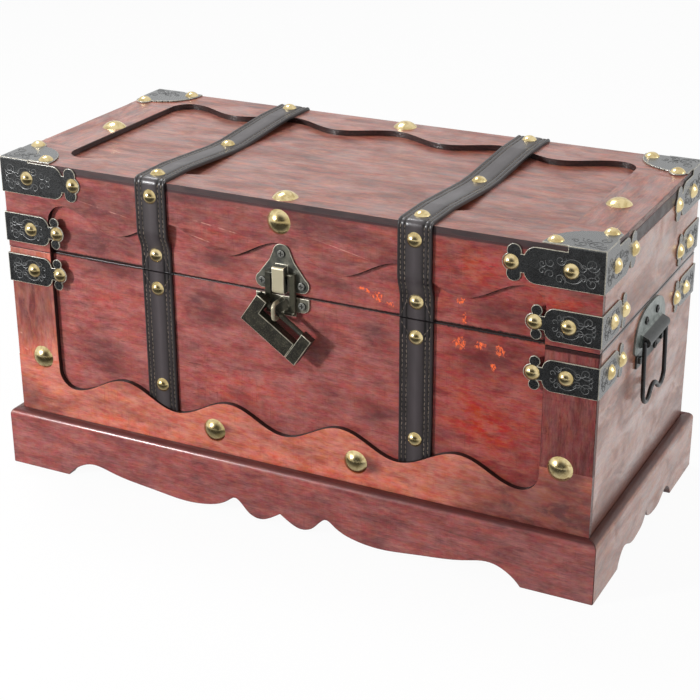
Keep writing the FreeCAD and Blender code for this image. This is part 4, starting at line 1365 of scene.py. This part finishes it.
@dataclass
class Straps:
    """The stitched leather straps over the lid and down the box front."""

    box_steps: int = 24
    rail_drop: float = 32.8 * MM
    top_rail: float = 28.3 * MM
    rest: float = 7.0 * MM
    tail: float = 30.0 * MM
    bend: float = 2.0 * MM
    ramp_bend: float = 15.0 * MM
    ramp_run: float = 2.4
    corner_share: float = 0.45
    bend_step: float = 11.0
    least_steps: int = 3
    rail_middle: float = 64.5 * MM
    wave_depth: float = 6.5 * MM
    wave_pitch: float = 74.0 * MM
    foot_gap: float = 0.3 * MM
    stitch_rows: tuple[float, ...] = (5.7 * MM, 8.2 * MM)
    stitch_long: float = 2.5 * MM
    stitch_pitch: float = 3.0 * MM
    seam_reach: float = 0.7 * MM
    stitch_thick: float = 0.27 * MM
    stitch_level: float = 1.7 * MM
    stitch_lean: float = 0.16
    thread_sides: int = 6
    thread_rings: int = 4
    bare_end: float = 9.5 * MM
    slant_places: tuple[float, ...] = (0.0, 0.45, 0.9)
    slant_start: Span = (8.6 * MM, 2.6 * MM)
    slant_end: Span = (4.9 * MM, 8.0 * MM)
    flare_end: Span = (6.2 * MM, 8.6 * MM)
    half_profile: Profile = (
        (0.0, 2.12 * MM), (3.6 * MM, 2.08 * MM), (4.9 * MM, 1.95 * MM), (5.7 * MM, 1.52 * MM),
        (6.4 * MM, 1.84 * MM), (7.4 * MM, 1.86 * MM), (8.2 * MM, 1.52 * MM), (8.9 * MM, 1.98 * MM),
        (9.55 * MM, 2.18 * MM), (10.0 * MM, 1.95 * MM), (10.2 * MM, 1.3 * MM), (10.2 * MM, 0.0),
    )

    def build(self) -> None:
        """Make both straps on the lid and both on the box, with their stitches."""
        # the straps' lighter middle is partly painted sheen
        leather = LeatherFinish(
            "strap_leather", base=(0.029, 0.022, 0.0235), rubbed=(0.066, 0.054, 0.058),
            groove=(0.005, 0.004, 0.004), middle=middle_x("lid_strap_right"),
            half_width=self.half_profile[-1][0], rows=self.stitch_rows,
        ).material()
        thread = ThreadFinish(
            "strap_thread", base=(0.26, 0.205, 0.162), soiled=(0.12, 0.096, 0.080)
        ).material()
        for side in Side:
            name = side.name.lower()
            middle = middle_x(f"lid_strap_{name}")
            over = self.stations(middle, self.rounded(self.lid_line()))
            self.strap(f"lid_strap_{name}", over, leather, thread)
            self.strap(f"box_strap_{name}", self.box_stations(middle), leather, thread, self.follow_wave)

    def lid_line(self) -> list[tuple[float, float, float]]:
        """Find the lid strap's inner line.

        Returns:
            Its corners, as y, z and the radius of the bend there.
        """
        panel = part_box("lid_front")[0].y
        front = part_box("lid_front_frame")[0].y
        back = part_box("lid_back")[1].y
        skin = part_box("lid_top")[1].z
        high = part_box("top_rail_front")[1].z
        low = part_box("lid_strap_right")[0].z - self.seam_reach
        rail = high - self.rail_drop
        ramp = rail - (high - skin) * self.ramp_run
        slack = self.ramp_bend * 2
        return [
            (panel, low, 0.0),
            (panel, ramp, self.ramp_bend),
            (front, rail, self.ramp_bend),
            (front, high, self.bend),
            (front + self.top_rail, high, slack),
            (-self.rest, skin, slack),
            (self.rest, skin, slack),
            (-front - self.top_rail, high, slack),
            (back, high, self.bend),
            (back, high - self.tail, 0.0),
        ]

    def rounded(self, line: Sequence[tuple[float, float, float]]) -> list[tuple[Vector, Vector]]:
        """Round a line's corners.

        Args:
            line: Corners as y, z and bend radius.

        Returns:
            Points along the line, each with the direction out of it to the left.
        """
        spots = [Vector((0, y, z)) for y, z, _ in line]
        points: list[Vector] = [spots[0]]
        for before, spot, after, (_, _, radius) in zip(spots, spots[1:], spots[2:], line[1:]):
            into = (spot - before).normalized()
            away = (after - spot).normalized()
            turn = into.angle(away)
            room = min((spot - before).length, (after - spot).length) * self.corner_share
            reach = min(radius * math.tan(turn / 2), room)
            start = spot - into * reach
            end = spot + away * reach
            steps = max(self.least_steps, round(math.degrees(turn) / self.bend_step))
            for i in range(steps + 1):
                share = i / steps
                points.append(start.lerp(spot, share).lerp(spot.lerp(end, share), share))
        points.append(spots[-1])
        found = []
        for i, point in enumerate(points):
            run = points[min(i + 1, len(points) - 1)] - points[max(i - 1, 0)]
            found.append((point, run.cross(X_AXIS).normalized() * -1))
        return found

    def stations(self, middle: float, path: Sequence[tuple[Vector, Vector]]) -> list[Station]:
        """The stops of a strap whose middle is at an x."""
        return [Station(point + X_AXIS * middle, X_AXIS, out) for point, out in path]

    def box_stations(self, middle: float) -> list[Station]:
        """Find the stops of a box strap, from its foot to its top.

        Args:
            middle: The x of the strap's middle.

        Returns:
            The stops.
        """
        foot = self.rail_middle - self.wave_depth
        tall = self.box_top() - foot
        heights = [foot + tall * i / self.box_steps for i in range(self.box_steps + 1)]
        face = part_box("box_strap_right")[1].y
        return [Station(Vector((middle, face, z)), X_AXIS, -Y_AXIS) for z in heights]

    def box_top(self) -> float:
        """Height of the box straps' upper ends."""
        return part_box("box_strap_right")[1].z + self.seam_reach

    def rail_edge(self, x: float) -> float:
        """Height of the wavy rail's edge at an x."""
        wave = math.cos(2 * math.pi * x / self.wave_pitch)
        return self.rail_middle - self.wave_depth * wave + self.foot_gap

    def follow_wave(self, point: Vector) -> Vector:
        """Move a point of a box strap so that the strap's foot follows the wavy rail.

        Args:
            point: The point on a strap with a straight foot.

        Returns:
            The moved point.
        """
        low = self.rail_middle - self.wave_depth
        high = self.box_top()
        edge = self.rail_edge(point.x)
        return Vector((point.x, point.y, edge + (point.z - low) * (high - edge) / (high - low)))

    def strap(
        self, node: str, stops: Sequence[Station], leather: Material, thread: Material,
        shaped: Move | None = None,
    ) -> None:
        """Make one strap and its stitches.

        Args:
            node: The CAD node that the strap stands for.
            stops: The strap's stations.
            leather: The strap's finish.
            thread: The stitches' finish.
            shaped: A move for every point of the strap.
        """
        other = [(-across, out) for across, out in self.half_profile[:0:-1]]
        bm = bmesh.new()
        sweep(bm, stops, other + list(self.half_profile))
        if shaped:
            for vert in bm.verts:
                vert.co = shaped(vert.co)
        add_piece(f"{node}_leather", bm, leather, body_of(node), [node], turned=True)
        sewn = bmesh.new()
        for row in self.stitch_rows:
            for way in (1, -1):
                join_into(sewn, self.stitch_row(stops, row * way, shaped))
        self.slants(sewn, stops[-1] if shaped else stops[0], bool(shaped))
        add_piece(f"{node}_stitches", sewn, thread, body_of(node))

    def slants(self, bm: Mesh, end: Station, downwards: bool) -> None:
        """Sew the slanted stitches at a strap's end by the lid's joint.

        Args:
            bm: The mesh that gets the stitches.
            end: The strap's end.
            downwards: Whether the strap hangs down from that end.
        """
        inward = -1 if downwards else 1
        out, along = self.slant_start
        out_end, along_end = self.slant_end if downwards else self.flare_end
        for way in (1, -1):
            lean = math.atan2((out_end - out) * way, (along_end - along) * inward)
            for share in self.slant_places:
                across = out + (out_end - out) * share
                rise = (along + (along_end - along) * share) * inward
                self.stitch(bm, end, way * across, rise, lean)

    def stitch(self, bm: Mesh, stop: Station, across: float, rise: float, lean: float) -> None:
        """Add one stitch near an upright strap's end.

        Args:
            bm: The mesh that gets the stitch.
            stop: The strap's end.
            across: Distance from the strap's middle line.
            rise: Distance up from the end.
            lean: The angle that the stitch leans by.
        """
        place = stop.place + stop.across * across + Z_AXIS * rise + stop.out * self.stitch_level
        turn = Matrix((stop.across, Z_AXIS, stop.out)).transposed().to_4x4()
        self.add_thread(bm, Matrix.Translation(place) @ turn @ Matrix.Rotation(-lean, 4, "Z"))

    def add_thread(self, bm: Mesh, place: Matrix) -> None:
        """Add one stitch that lies along the Y of a placing.

        Args:
            bm: The mesh that gets the stitch.
            place: The stitch's place and turn.
        """
        size = Matrix.Diagonal((self.stitch_thick, self.stitch_long / 2, self.stitch_thick, 1.0))
        bmesh.ops.create_uvsphere(
            bm, u_segments=self.thread_sides, v_segments=self.thread_rings, radius=1.0, matrix=place @ size
        )

    def stitch_row(self, stops: Sequence[Station], across: float, shaped: Move | None) -> Mesh:
        """Sew one row along a strap.

        Args:
            stops: The strap's stations.
            across: Distance of the row from the strap's middle line.
            shaped: A move for every point of the strap.

        Returns:
            The row's mesh.
        """
        bm = bmesh.new()
        runs = [second.place - first.place for first, second in zip(stops, stops[1:])]
        whole = sum(run.length for run in runs)
        bare = (self.stitch_pitch, self.bare_end) if shaped else (self.bare_end, self.stitch_pitch)
        wanted, bare_last = bare
        travelled = 0.0
        lean = self.stitch_lean
        for first, second, run in zip(stops, stops[1:], runs):
            while wanted <= min(travelled + run.length, whole - bare_last):
                share = (wanted - travelled) / run.length
                out = first.out.lerp(second.out, share).normalized()
                place = first.place.lerp(second.place, share)
                place = place + first.across * across + out * self.stitch_level
                if shaped:
                    place = shaped(place)
                turn = Matrix((first.across, run.normalized(), out)).transposed().to_4x4()
                self.add_thread(bm, Matrix.Translation(place) @ turn @ Matrix.Rotation(lean, 4, "Z"))
                wanted += self.stitch_pitch
                lean = -lean
            travelled += run.length
        return bm


class Stroke(NamedTuple):
    """A spiral stroke of the engraving, in millimetres and degrees: middle, radii and angles."""

    along: float
    up: float
    start: float
    end: float
    first: float
    last: float


class PlateFace(NamedTuple):
    """A plate's face: the corner that it is measured from, and the ways along, up and out of it."""

    corner: Vector
    along: Vector
    up: Vector
    out: Vector


@dataclass
class CornerPlates:
    """The nailed corner plates with their engraved scrolls."""

    ease: float = 0.42 * MM
    line: float = 0.21 * MM
    line_sides: int = 5
    sink: float = 0.06 * MM
    turn_step: float = 22.0
    least_steps: int = 8
    angle_scrolls: tuple[Stroke, ...] = (
        Stroke(7.4, 4.4, 3.5, 0.7, 190, 760),
        Stroke(12.2, 2.6, 2.3, 0.5, 330, -90),
        Stroke(11.0, 6.2, 4.2, 3.8, 215, 330),
        Stroke(17.8, 0.0, 6.6, 6.3, 35, 145),
        Stroke(23.6, 5.0, 2.4, 0.5, 150, 560),
        Stroke(5.0, 1.2, 1.8, 0.5, 60, 400),
        Stroke(26.4, 1.8, 2.0, 0.5, 200, -100),
    )
    cap_scrolls: tuple[Stroke, ...] = (
        Stroke(7.2, 5.0, 3.9, 0.8, 190, 760),
        Stroke(12.4, 3.0, 2.6, 0.5, 330, -90),
        Stroke(11.0, 7.0, 4.4, 4.0, 215, 330),
        Stroke(17.8, 0.0, 6.8, 6.4, 30, 150),
        Stroke(24.6, 5.2, 3.2, 0.6, 150, 620),
        Stroke(30.2, 3.2, 2.8, 0.6, 20, -380),
        Stroke(34.6, 2.0, 2.0, 0.5, 200, 560),
        Stroke(5.0, 1.4, 2.0, 0.5, 60, 400),
    )
    leaf_scrolls: tuple[Stroke, ...] = (
        Stroke(8.0, 8.0, 5.2, 0.9, 190, 800),
        Stroke(16.0, 6.0, 3.6, 0.7, 330, -120),
        Stroke(6.0, 15.6, 3.4, 0.7, 120, 560),
        Stroke(12.0, 14.6, 6.4, 5.6, 250, 360),
        Stroke(20.5, 9.4, 2.4, 0.5, 20, 400),
        Stroke(13.4, 12.2, 2.2, 0.4, 60, -300),
        Stroke(4.2, 4.2, 2.4, 1.8, 150, 330),
    )
    lobe_reach: float = 10.5 * MM
    leaf_skin: float = 1.0 * MM
    sheet: float = 0.8 * MM
    # painted sheen: the lighter grey of the plates' top and end faces
    dull: Colour = (0.085, 0.090, 0.090)
    shadowed: Colour = (0.010, 0.010, 0.011)

    def build(self) -> None:
        """Make the twelve plates and their engraving."""
        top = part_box("cap_fr")[1].z - self.leaf_skin
        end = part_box("box_end_right")[1].x + self.sheet / 2
        # painted sheen on the plates' top and end faces, painted shade on their engraving there
        plate = MetalFinish(
            "corner_gunmetal", base=(0.006, 0.0065, 0.007), tarnish=(0.014, 0.015, 0.016),
            worn=(0.50, 0.46, 0.36), metallic=0.0, roughness=0.27, shine=1.85,
            painted_light=(PaintedLight("Z", top, self.dull, share=0.9), PaintedLight("X", end, self.dull, share=0.7)),
        ).material()
        line = MetalFinish(
            "engraved_line", base=(0.17, 0.172, 0.172), tarnish=(0.085, 0.088, 0.088),
            worn=(0.3, 0.3, 0.3), metallic=0.2, roughness=0.4,
            painted_light=(
                PaintedLight("Z", top, self.shadowed, share=0.95),
                PaintedLight("X", end, self.shadowed, share=0.9),
            ),
        ).material()
        families = {
            "cap": self.cap_scrolls,
            "lid_angle": self.angle_scrolls,
            "box_angle": self.angle_scrolls,
        }
        for family, scrolls in families.items():
            for depth, y_way in (("f", -1), ("b", 1)):
                for width, side in (("r", Side.RIGHT), ("l", Side.LEFT)):
                    node = f"{family}_{depth}{width}"
                    eased_piece(node, "plate", self.ease, plate, clamp=False)
                    bm = bmesh.new()
                    self.engrave(bm, node, side.value, y_way, scrolls)
                    add_piece(f"{node}_engraving", bm, line, body_of(node), turned=True)

    def engrave(self, bm: Mesh, node: str, x_way: int, y_way: int, scrolls: Sequence[Stroke]) -> None:
        """Add the scrolls of one corner's arms, and of its leaf on a cap.

        Args:
            bm: The mesh that gets the strokes.
            node: The plate's CAD node.
            x_way: 1 at the chest's right and -1 at its left.
            y_way: 1 at the chest's back and -1 at its front.
            scrolls: The strokes of one half of an arm.
        """
        low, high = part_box(node)
        x = high.x if x_way > 0 else low.x
        y = high.y if y_way > 0 else low.y
        cap = node.startswith("cap")
        middle = low.z + self.lobe_reach if cap else (low.z + high.z) / 2
        into_x = X_AXIS * -x_way
        into_y = Y_AXIS * -y_way
        corner = Vector((x, y, middle))
        for along, out in ((into_x, -into_y), (into_y, -into_x)):
            for stroke in scrolls:
                for way in (1, -1):
                    self.stroke(bm, stroke, PlateFace(corner, along, Z_AXIS * way, out))
        if cap:
            leaf = PlateFace(Vector((x, y, high.z)), into_x, into_y, Z_AXIS)
            for stroke in self.leaf_scrolls:
                self.stroke(bm, stroke, leaf)

    def stroke(self, bm: Mesh, stroke: Stroke, face: PlateFace) -> None:
        """Add one spiral stroke on a plate's face.

        Args:
            bm: The mesh that gets the stroke.
            stroke: The stroke.
            face: The face.
        """
        steps = max(self.least_steps, round(abs(stroke.last - stroke.first) / self.turn_step))
        middle = face.corner + face.along * stroke.along * MM + face.up * stroke.up * MM
        middle = middle - face.out * self.sink
        stops = []
        for i in range(steps + 1):
            share = i / steps
            turn = math.radians(stroke.first + (stroke.last - stroke.first) * share)
            radius = (stroke.start + (stroke.end - stroke.start) * share) * MM
            ray = face.along * math.cos(turn) + face.up * math.sin(turn)
            stops.append(Station(middle + ray * radius, ray, face.out))
        sweep(bm, stops, ring(self.line, self.line_sides))


@dataclass
class Nails:
    """The domed brass nails and studs, and the screws."""

    steps: int = 28
    dome_rings: int = 9
    rim_share: float = 0.985
    dent: float = 0.05 * MM
    dent_size: float = 2.4 * MM
    recess_deep: float = 0.25 * MM
    recess_blur: float = 0.08 * MM
    recess_shade: Colour = (0.008, 0.008, 0.008)

    def build(self) -> None:
        """Make every nail, and dress the screws."""
        brass = MetalFinish(
            "aged_brass", base=(0.76, 0.62, 0.34), tarnish=(0.50, 0.38, 0.17), worn=(0.8, 0.7, 0.4),
            metallic=1.0, roughness=0.2, mottle=5 * MM, grit=0.08,
        ).material()
        # painted shade in the screws' cross recesses and round their heads
        level = -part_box("lid_screws")[0].y - self.recess_deep
        recess = PaintedLight("Y", level, self.recess_shade, share=0.95, blur=self.recess_blur, below=True)
        steel = MetalFinish(
            "screw_steel", base=(0.25, 0.25, 0.225), tarnish=(0.12, 0.12, 0.11), worn=(0.4, 0.4, 0.35),
            metallic=0.5, roughness=0.36, painted_light=(recess,),
        ).material()
        for node in ("lid_tacks", "box_tacks", "lid_studs", "box_studs"):
            bm = bmesh.new()
            for fixing in self.fixings(node):
                self.head(bm, fixing)
            add_piece(f"{node}_heads", bm, brass, body_of(node), [node])
        for node in ("lid_screws", "box_screws"):
            dress_node(node, steel)

    def fixings(self, node: str) -> list[Fixing]:
        """Find the separate nails of a CAD node.

        Args:
            node: The CAD node.

        Returns:
            The nails, in the order of their places.
        """
        bm = merged_copy(node)
        left = set(bm.verts)
        found = []
        while left:
            island = [left.pop()]
            for vert in island:
                for edge in vert.link_edges:
                    other = edge.other_vert(vert)
                    if other in left:
                        left.remove(other)
                        island.append(other)
            found.append(self.fixing([vert.co for vert in island]))
        bm.free()
        return sorted(found, key=lambda fixing: tuple(fixing.seat))

    def fixing(self, points: Sequence[Vector]) -> Fixing:
        """Measure one nail.

        Args:
            points: The points of its mesh.

        Returns:
            The nail.
        """
        low = Vector([min(point[i] for point in points) for i in range(3)])
        high = Vector([max(point[i] for point in points) for i in range(3)])
        size = high - low
        axis = min(range(3), key=lambda i: size[i])
        middle = (low + high) / 2
        chest = sum(corner[axis] for corner in CAD_BOX) / 2
        way = 1 if middle[axis] > chest else -1
        out = Vector([way if i == axis else 0 for i in range(3)])
        return Fixing(middle - out * size[axis] / 2, out, max(size) / 2, size[axis])

    def head(self, whole: Mesh, fixing: Fixing) -> None:
        """Add one domed head, turned round its own axis from half its outline.

        Args:
            whole: The mesh that gets the head.
            fixing: The nail.
        """
        ball = (fixing.radius ** 2 + fixing.rise ** 2) / (2 * fixing.rise)
        rim = math.asin(min(1.0, fixing.radius / ball))
        bm = bmesh.new()
        outline = [bm.verts.new((0, 0, 0)), bm.verts.new((fixing.radius * self.rim_share, 0, 0))]
        for i in range(self.dome_rings + 1):
            turn = rim * (1 - i / self.dome_rings)
            height = fixing.rise - ball + ball * math.cos(turn)
            outline.append(bm.verts.new((ball * math.sin(turn), 0, height)))
        edges = [bm.edges.new(pair) for pair in zip(outline, outline[1:])]
        bmesh.ops.spin(
            bm, geom=outline + edges, cent=(0, 0, 0), axis=(0, 0, 1), angle=2 * math.pi,
            steps=self.steps, use_merge=True,
        )
        bmesh.ops.remove_doubles(bm, verts=bm.verts[:], dist=MERGE)
        bmesh.ops.recalc_face_normals(bm, faces=bm.faces[:])
        for vert in bm.verts:
            worn = noise.noise(vert.co / self.dent_size + fixing.seat / MM)
            vert.co.z -= abs(worn) * self.dent * vert.co.z / fixing.rise
        turn = Z_AXIS.rotation_difference(fixing.out).to_matrix().to_4x4()
        bm.transform(Matrix.Translation(fixing.seat) @ turn)
        join_into(whole, bm)


@dataclass
class Hasp:
    """The hasp plate with its block, the link, the staple and the padlock."""

    ease: float = 0.35 * MM
    pad_ease: float = 0.4 * MM
    block_skin: float = 1.2 * MM
    loop_skin: float = 2.6 * MM
    bore_reach: float = 2.0 * MM
    link_half: float = 7.8 * MM
    link_gap: float = 2.6 * MM
    bar: float = 1.25 * MM
    bar_fit: float = 0.98
    bar_sides: int = 16
    toe_sides: int = 12
    leg_half: float = 2.1 * MM
    leg_flat: float = 0.8
    rubbed: Colour = (0.85, 0.80, 0.64)

    def build(self) -> None:
        """Make the pieces of the hasp and the padlock."""
        front = -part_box("hasp_link")[0].y
        # painted light on the block's front face and on the staple's loop
        block_face = PaintedLight("Y", front + self.block_skin, (0.66, 0.59, 0.40), share=0.78)
        loop_face = PaintedLight("Y", front + self.loop_skin, (0.62, 0.55, 0.38), share=0.6)
        bronze = MetalFinish(
            "hasp_bronze", base=(0.155, 0.152, 0.122), tarnish=(0.060, 0.063, 0.057), worn=self.rubbed,
            metallic=0.45, roughness=0.34, painted_light=(block_face,),
        ).material()
        plain = MetalFinish(
            "staple_bronze", base=(0.27, 0.25, 0.185), tarnish=(0.12, 0.12, 0.10), worn=self.rubbed,
            metallic=0.45, roughness=0.34, painted_light=(loop_face,),
        ).material()
        dark = MetalFinish(
            "padlock_bronze", base=(0.013, 0.012, 0.009), tarnish=(0.034, 0.031, 0.022),
            worn=(0.55, 0.52, 0.40), metallic=0.3, roughness=0.34, shine=1.55, fleck=(0.15, 0.135, 0.09),
        ).material()
        olive = MetalFinish(
            "link_bronze", base=(0.085, 0.080, 0.055), tarnish=(0.045, 0.044, 0.034),
            worn=(0.34, 0.31, 0.22), metallic=0.6, roughness=0.38,
        ).material()
        eased_piece("hasp_plate", "cast", self.ease, bronze, clamp=False)
        eased_piece("staple", "cast", self.ease, plain, clamp=False)
        for node in ("padlock_body", "padlock_shackle"):
            eased_piece(
                node, "cast", self.pad_ease, dark, stay_sharp=self.round_bore, clamp=False
            )
        self.link(olive)

    def round_bore(self, middle: Vector) -> bool:
        """Whether an edge of the padlock lies round its bores, whose axes share the staple's depth."""
        low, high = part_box("padlock_body")
        return abs(middle.y - (low.y + high.y) / 2) < self.bore_reach

    def link(self, material: Material) -> None:
        """Make the split link: a round bar in the block, two flat legs and two turned-in toes.

        Args:
            material: The finish.
        """
        low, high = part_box("hasp_link")
        y = (low.y + high.y) / 2
        top = high.z - self.bar
        foot = low.z + self.bar
        wide = self.leg_half * self.leg_flat
        thick = self.bar * self.leg_flat
        flat = [
            (-self.leg_half, 0.0), (-wide, thick), (wide, thick),
            (self.leg_half, 0.0), (wide, -thick), (-wide, -thick),
        ]
        radius = self.bar * self.bar_fit
        bm = bmesh.new()
        bar_ends = [Vector((-self.link_half, y, top)), Vector((self.link_half, y, top))]
        sweep(bm, [Station(end, Y_AXIS, Z_AXIS) for end in bar_ends], ring(radius, self.bar_sides))
        for side in Side:
            way = side.value
            x = self.link_half * way
            leg = [Vector((x, y, high.z)), Vector((x, y, foot + self.bar))]
            sweep(bm, [Station(end, X_AXIS, Y_AXIS) for end in leg], flat)
            toe = [Vector((self.link_gap * way, y, foot)), Vector((x + self.bar * way, y, foot))]
            sweep(bm, [Station(end, Y_AXIS, Z_AXIS) for end in toe], ring(radius, self.toe_sides))
        add_piece("hasp_link_bar", bm, material, body_of("hasp_link"), ["hasp_link"], turned=True)


@dataclass
class Handles:
    """The end handles and the hinges at the back."""

    ease: float = 0.3 * MM
    hinge_ease: float = 0.2 * MM
    hood_out: float = 2.4 * MM
    hood_shade: Colour = (0.016, 0.018, 0.018)
    ear_tall: float = 9.0 * MM
    ear_shade: Colour = (0.012, 0.012, 0.012)

    def build(self) -> None:
        """Make the handle plates and hinge leaves, and dress the bails and pins."""
        # painted shade on the hood and painted shadow on the ears under it
        hood_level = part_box("box_end_right")[1].x + self.hood_out
        hood = PaintedLight("X", hood_level, self.hood_shade, share=0.92)
        ear_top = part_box("handle_plate_right")[0].z + self.ear_tall
        ears = PaintedLight("Z", ear_top, self.ear_shade, share=0.9, below=True)
        grey = MetalFinish(
            "handle_grey", base=(0.27, 0.30, 0.28), tarnish=(0.15, 0.17, 0.16), worn=(0.40, 0.42, 0.40),
            metallic=0.4, roughness=0.4, shine=1.7, painted_light=(hood, ears),
        ).material()
        black = MetalFinish(
            "bail_black", base=(0.010, 0.010, 0.011), tarnish=(0.022, 0.022, 0.023), worn=(0.2, 0.2, 0.2),
            metallic=0.2, roughness=0.3,
        ).material()
        bronze = MetalFinish(
            "hinge_bronze_skin", base=(0.16, 0.13, 0.08), tarnish=(0.07, 0.06, 0.042),
            worn=(0.5, 0.42, 0.26), metallic=0.85, roughness=0.38,
        ).material()
        for side in ("left", "right"):
            eased_piece(f"handle_plate_{side}", "sheet", self.ease, grey)
            dress_node(f"bail_{side}", black)
            for part in ("box", "lid"):
                eased_piece(f"hinge_{part}_{side}", "leaf", self.hinge_ease, bronze)
        dress_node("hinge_pins", bronze)


class Lamp(NamedTuple):
    """A soft square lamp: its name, place, size and power."""

    name: str
    place: tuple[float, float, float]
    size: float
    power: float


@dataclass
class Studio:
    """The floor, the soft lights and the camera."""

    floor_half: float = 6.0
    aim: Vector = field(default_factory=lambda: Vector((0, 0, 0.1)))
    azimuth: float = 26.854
    elevation: float = 23.460
    roll: float = -0.259
    slide: float = 0.007 * MM
    lift: float = 18.854 * MM
    distance: float = 1.035282
    focal_share: float = 1664.758 / 700
    sensor: float = 36.0
    white: Colour = (1.0, 1.0, 1.0)
    dim: float = 0.07
    dim_middle: tuple[float, float, float] = (-0.12, -0.56, 0.0)
    dim_half: tuple[float, float, float] = (0.85, 0.58, 1.0)
    dim_blur: Span = (0.6, 1.0)
    dim_sky: Span = (-0.92, -0.6)
    floor_glow: float = 0.95
    room: float = 0.3
    lamps: tuple[Lamp, ...] = (
        Lamp("key", (-0.66, -0.92, 0.44), 0.14, 11.5),
        Lamp("overhead", (-0.65, 0.3, 1.3), 0.4, 9.5),
        Lamp("side", (1.3, 0.35, 0.6), 0.7, 5.5),
    )

    def build(self) -> None:
        """Set up the view, the floor, the world and the lamps."""
        bpy.context.scene.view_settings.view_transform = "Standard"
        self.floor()
        self.world()
        for lamp in self.lamps:
            self.hang(lamp)
        self.camera()

    def floor(self) -> None:
        """Lay the pale floor, which reflections find darker in front of the chest."""
        bm = bmesh.new()
        bmesh.ops.create_grid(bm, x_segments=1, y_segments=1, size=self.floor_half)
        mesh = bpy.data.meshes.new("floor")
        bm.to_mesh(mesh)
        bm.free()
        graph = Graph("floor_white")
        graph.assign(Base_Color=(0.86, 0.86, 0.86, 1.0), Roughness=0.9, Specular_IOR_Level=0.0)
        ray = graph.node("ShaderNodeLightPath").outputs
        away = graph.length(graph.placed(self.dim_half, self.dim_middle))
        bright = graph.fade(away, *self.dim_blur)
        shown = graph.ramp(bright, ((0.0, (self.dim, self.dim, self.dim)), (1.0, self.white)))
        glow = graph.node("ShaderNodeEmission")
        graph.feed(glow.inputs["Color"], graph.mix(ray["Is Glossy Ray"], self.white, shown))
        share = graph.total((ray["Is Camera Ray"], self.floor_glow), (ray["Is Glossy Ray"], 1.0))
        blend = graph.node("ShaderNodeMixShader")
        for socket, value in zip(blend.inputs, (share, graph.shader.outputs[0], glow.outputs[0])):
            graph.feed(socket, value)
        graph.feed(graph.tree.nodes["Material Output"].inputs["Surface"], blend.outputs[0])
        mesh.materials.append(graph.material)
        piece = bpy.data.objects.new("floor", mesh)
        bpy.context.scene.collection.objects.link(piece)

    def world(self) -> None:
        """Light the room, white to the eye and in reflections but for a dark patch in front."""
        world = bpy.data.worlds.new("studio")
        bpy.context.scene.world = world
        world.use_nodes = True
        nodes = world.node_tree.nodes
        join = world.node_tree.links.new
        shade = nodes["Background"]
        shade.inputs["Color"].default_value = (*self.white, 1.0)
        ray = nodes.new("ShaderNodeLightPath")
        spot = nodes.new("ShaderNodeTexCoord")
        split = nodes.new("ShaderNodeSeparateXYZ")
        join(spot.outputs["Generated"], split.inputs[0])
        patch = nodes.new("ShaderNodeMapRange")
        patch.interpolation_type = "SMOOTHSTEP"
        join(split.outputs["Y"], patch.inputs["Value"])
        ends = ("From Min", "From Max", "To Min", "To Max")
        for key, number in zip(ends, (*self.dim_sky, self.dim, 1.0)):
            patch.inputs[key].default_value = number
        glossy = nodes.new("ShaderNodeMix")
        join(ray.outputs["Is Glossy Ray"], glossy.inputs[0])
        glossy.inputs[2].default_value = self.room
        join(patch.outputs["Result"], glossy.inputs[3])
        seen = nodes.new("ShaderNodeMix")
        join(ray.outputs["Is Camera Ray"], seen.inputs[0])
        join(glossy.outputs[0], seen.inputs[2])
        seen.inputs[3].default_value = 1.0
        join(seen.outputs[0], shade.inputs["Strength"])

    def hang(self, lamp: Lamp) -> None:
        """Hang a lamp that points at the chest.

        Args:
            lamp: The lamp.
        """
        data = bpy.data.lights.new(lamp.name, "AREA")
        data.size = lamp.size
        data.energy = lamp.power
        piece = bpy.data.objects.new(lamp.name, data)
        piece.location = lamp.place
        piece.rotation_euler = (self.aim - Vector(lamp.place)).to_track_quat("-Z", "Y").to_euler()
        bpy.context.scene.collection.objects.link(piece)

    def camera(self) -> None:
        """Stand the camera where the photograph was taken from."""
        turn, tilt, roll = (math.radians(angle) for angle in (self.azimuth, self.elevation, self.roll))
        back = Vector((math.sin(turn) * math.cos(tilt), -math.cos(turn) * math.cos(tilt), math.sin(tilt)))
        level = Vector((math.cos(turn), math.sin(turn), 0))
        rise = back.cross(level)
        right = level * math.cos(roll) + rise * math.sin(roll)
        up = rise * math.cos(roll) - level * math.sin(roll)
        data = bpy.data.cameras.new("camera")
        data.sensor_width = self.sensor
        data.lens = self.focal_share * self.sensor
        camera = bpy.data.objects.new("camera", data)
        place = self.aim - right * self.slide - up * self.lift + back * self.distance
        turned = Matrix((right, up, back)).transposed().to_4x4()
        camera.matrix_world = Matrix.Translation(place) @ turned
        bpy.context.scene.collection.objects.link(camera)
        bpy.context.scene.camera = camera


def main() -> None:
    """Build the chest's looks and the studio."""
    logging.basicConfig(level=logging.INFO, format="%(message)s")
    for part in (Boards(), Straps(), CornerPlates(), Nails(), Hasp(), Handles(), Studio()):
        part.build()


if __name__ == "__main__":
    main()
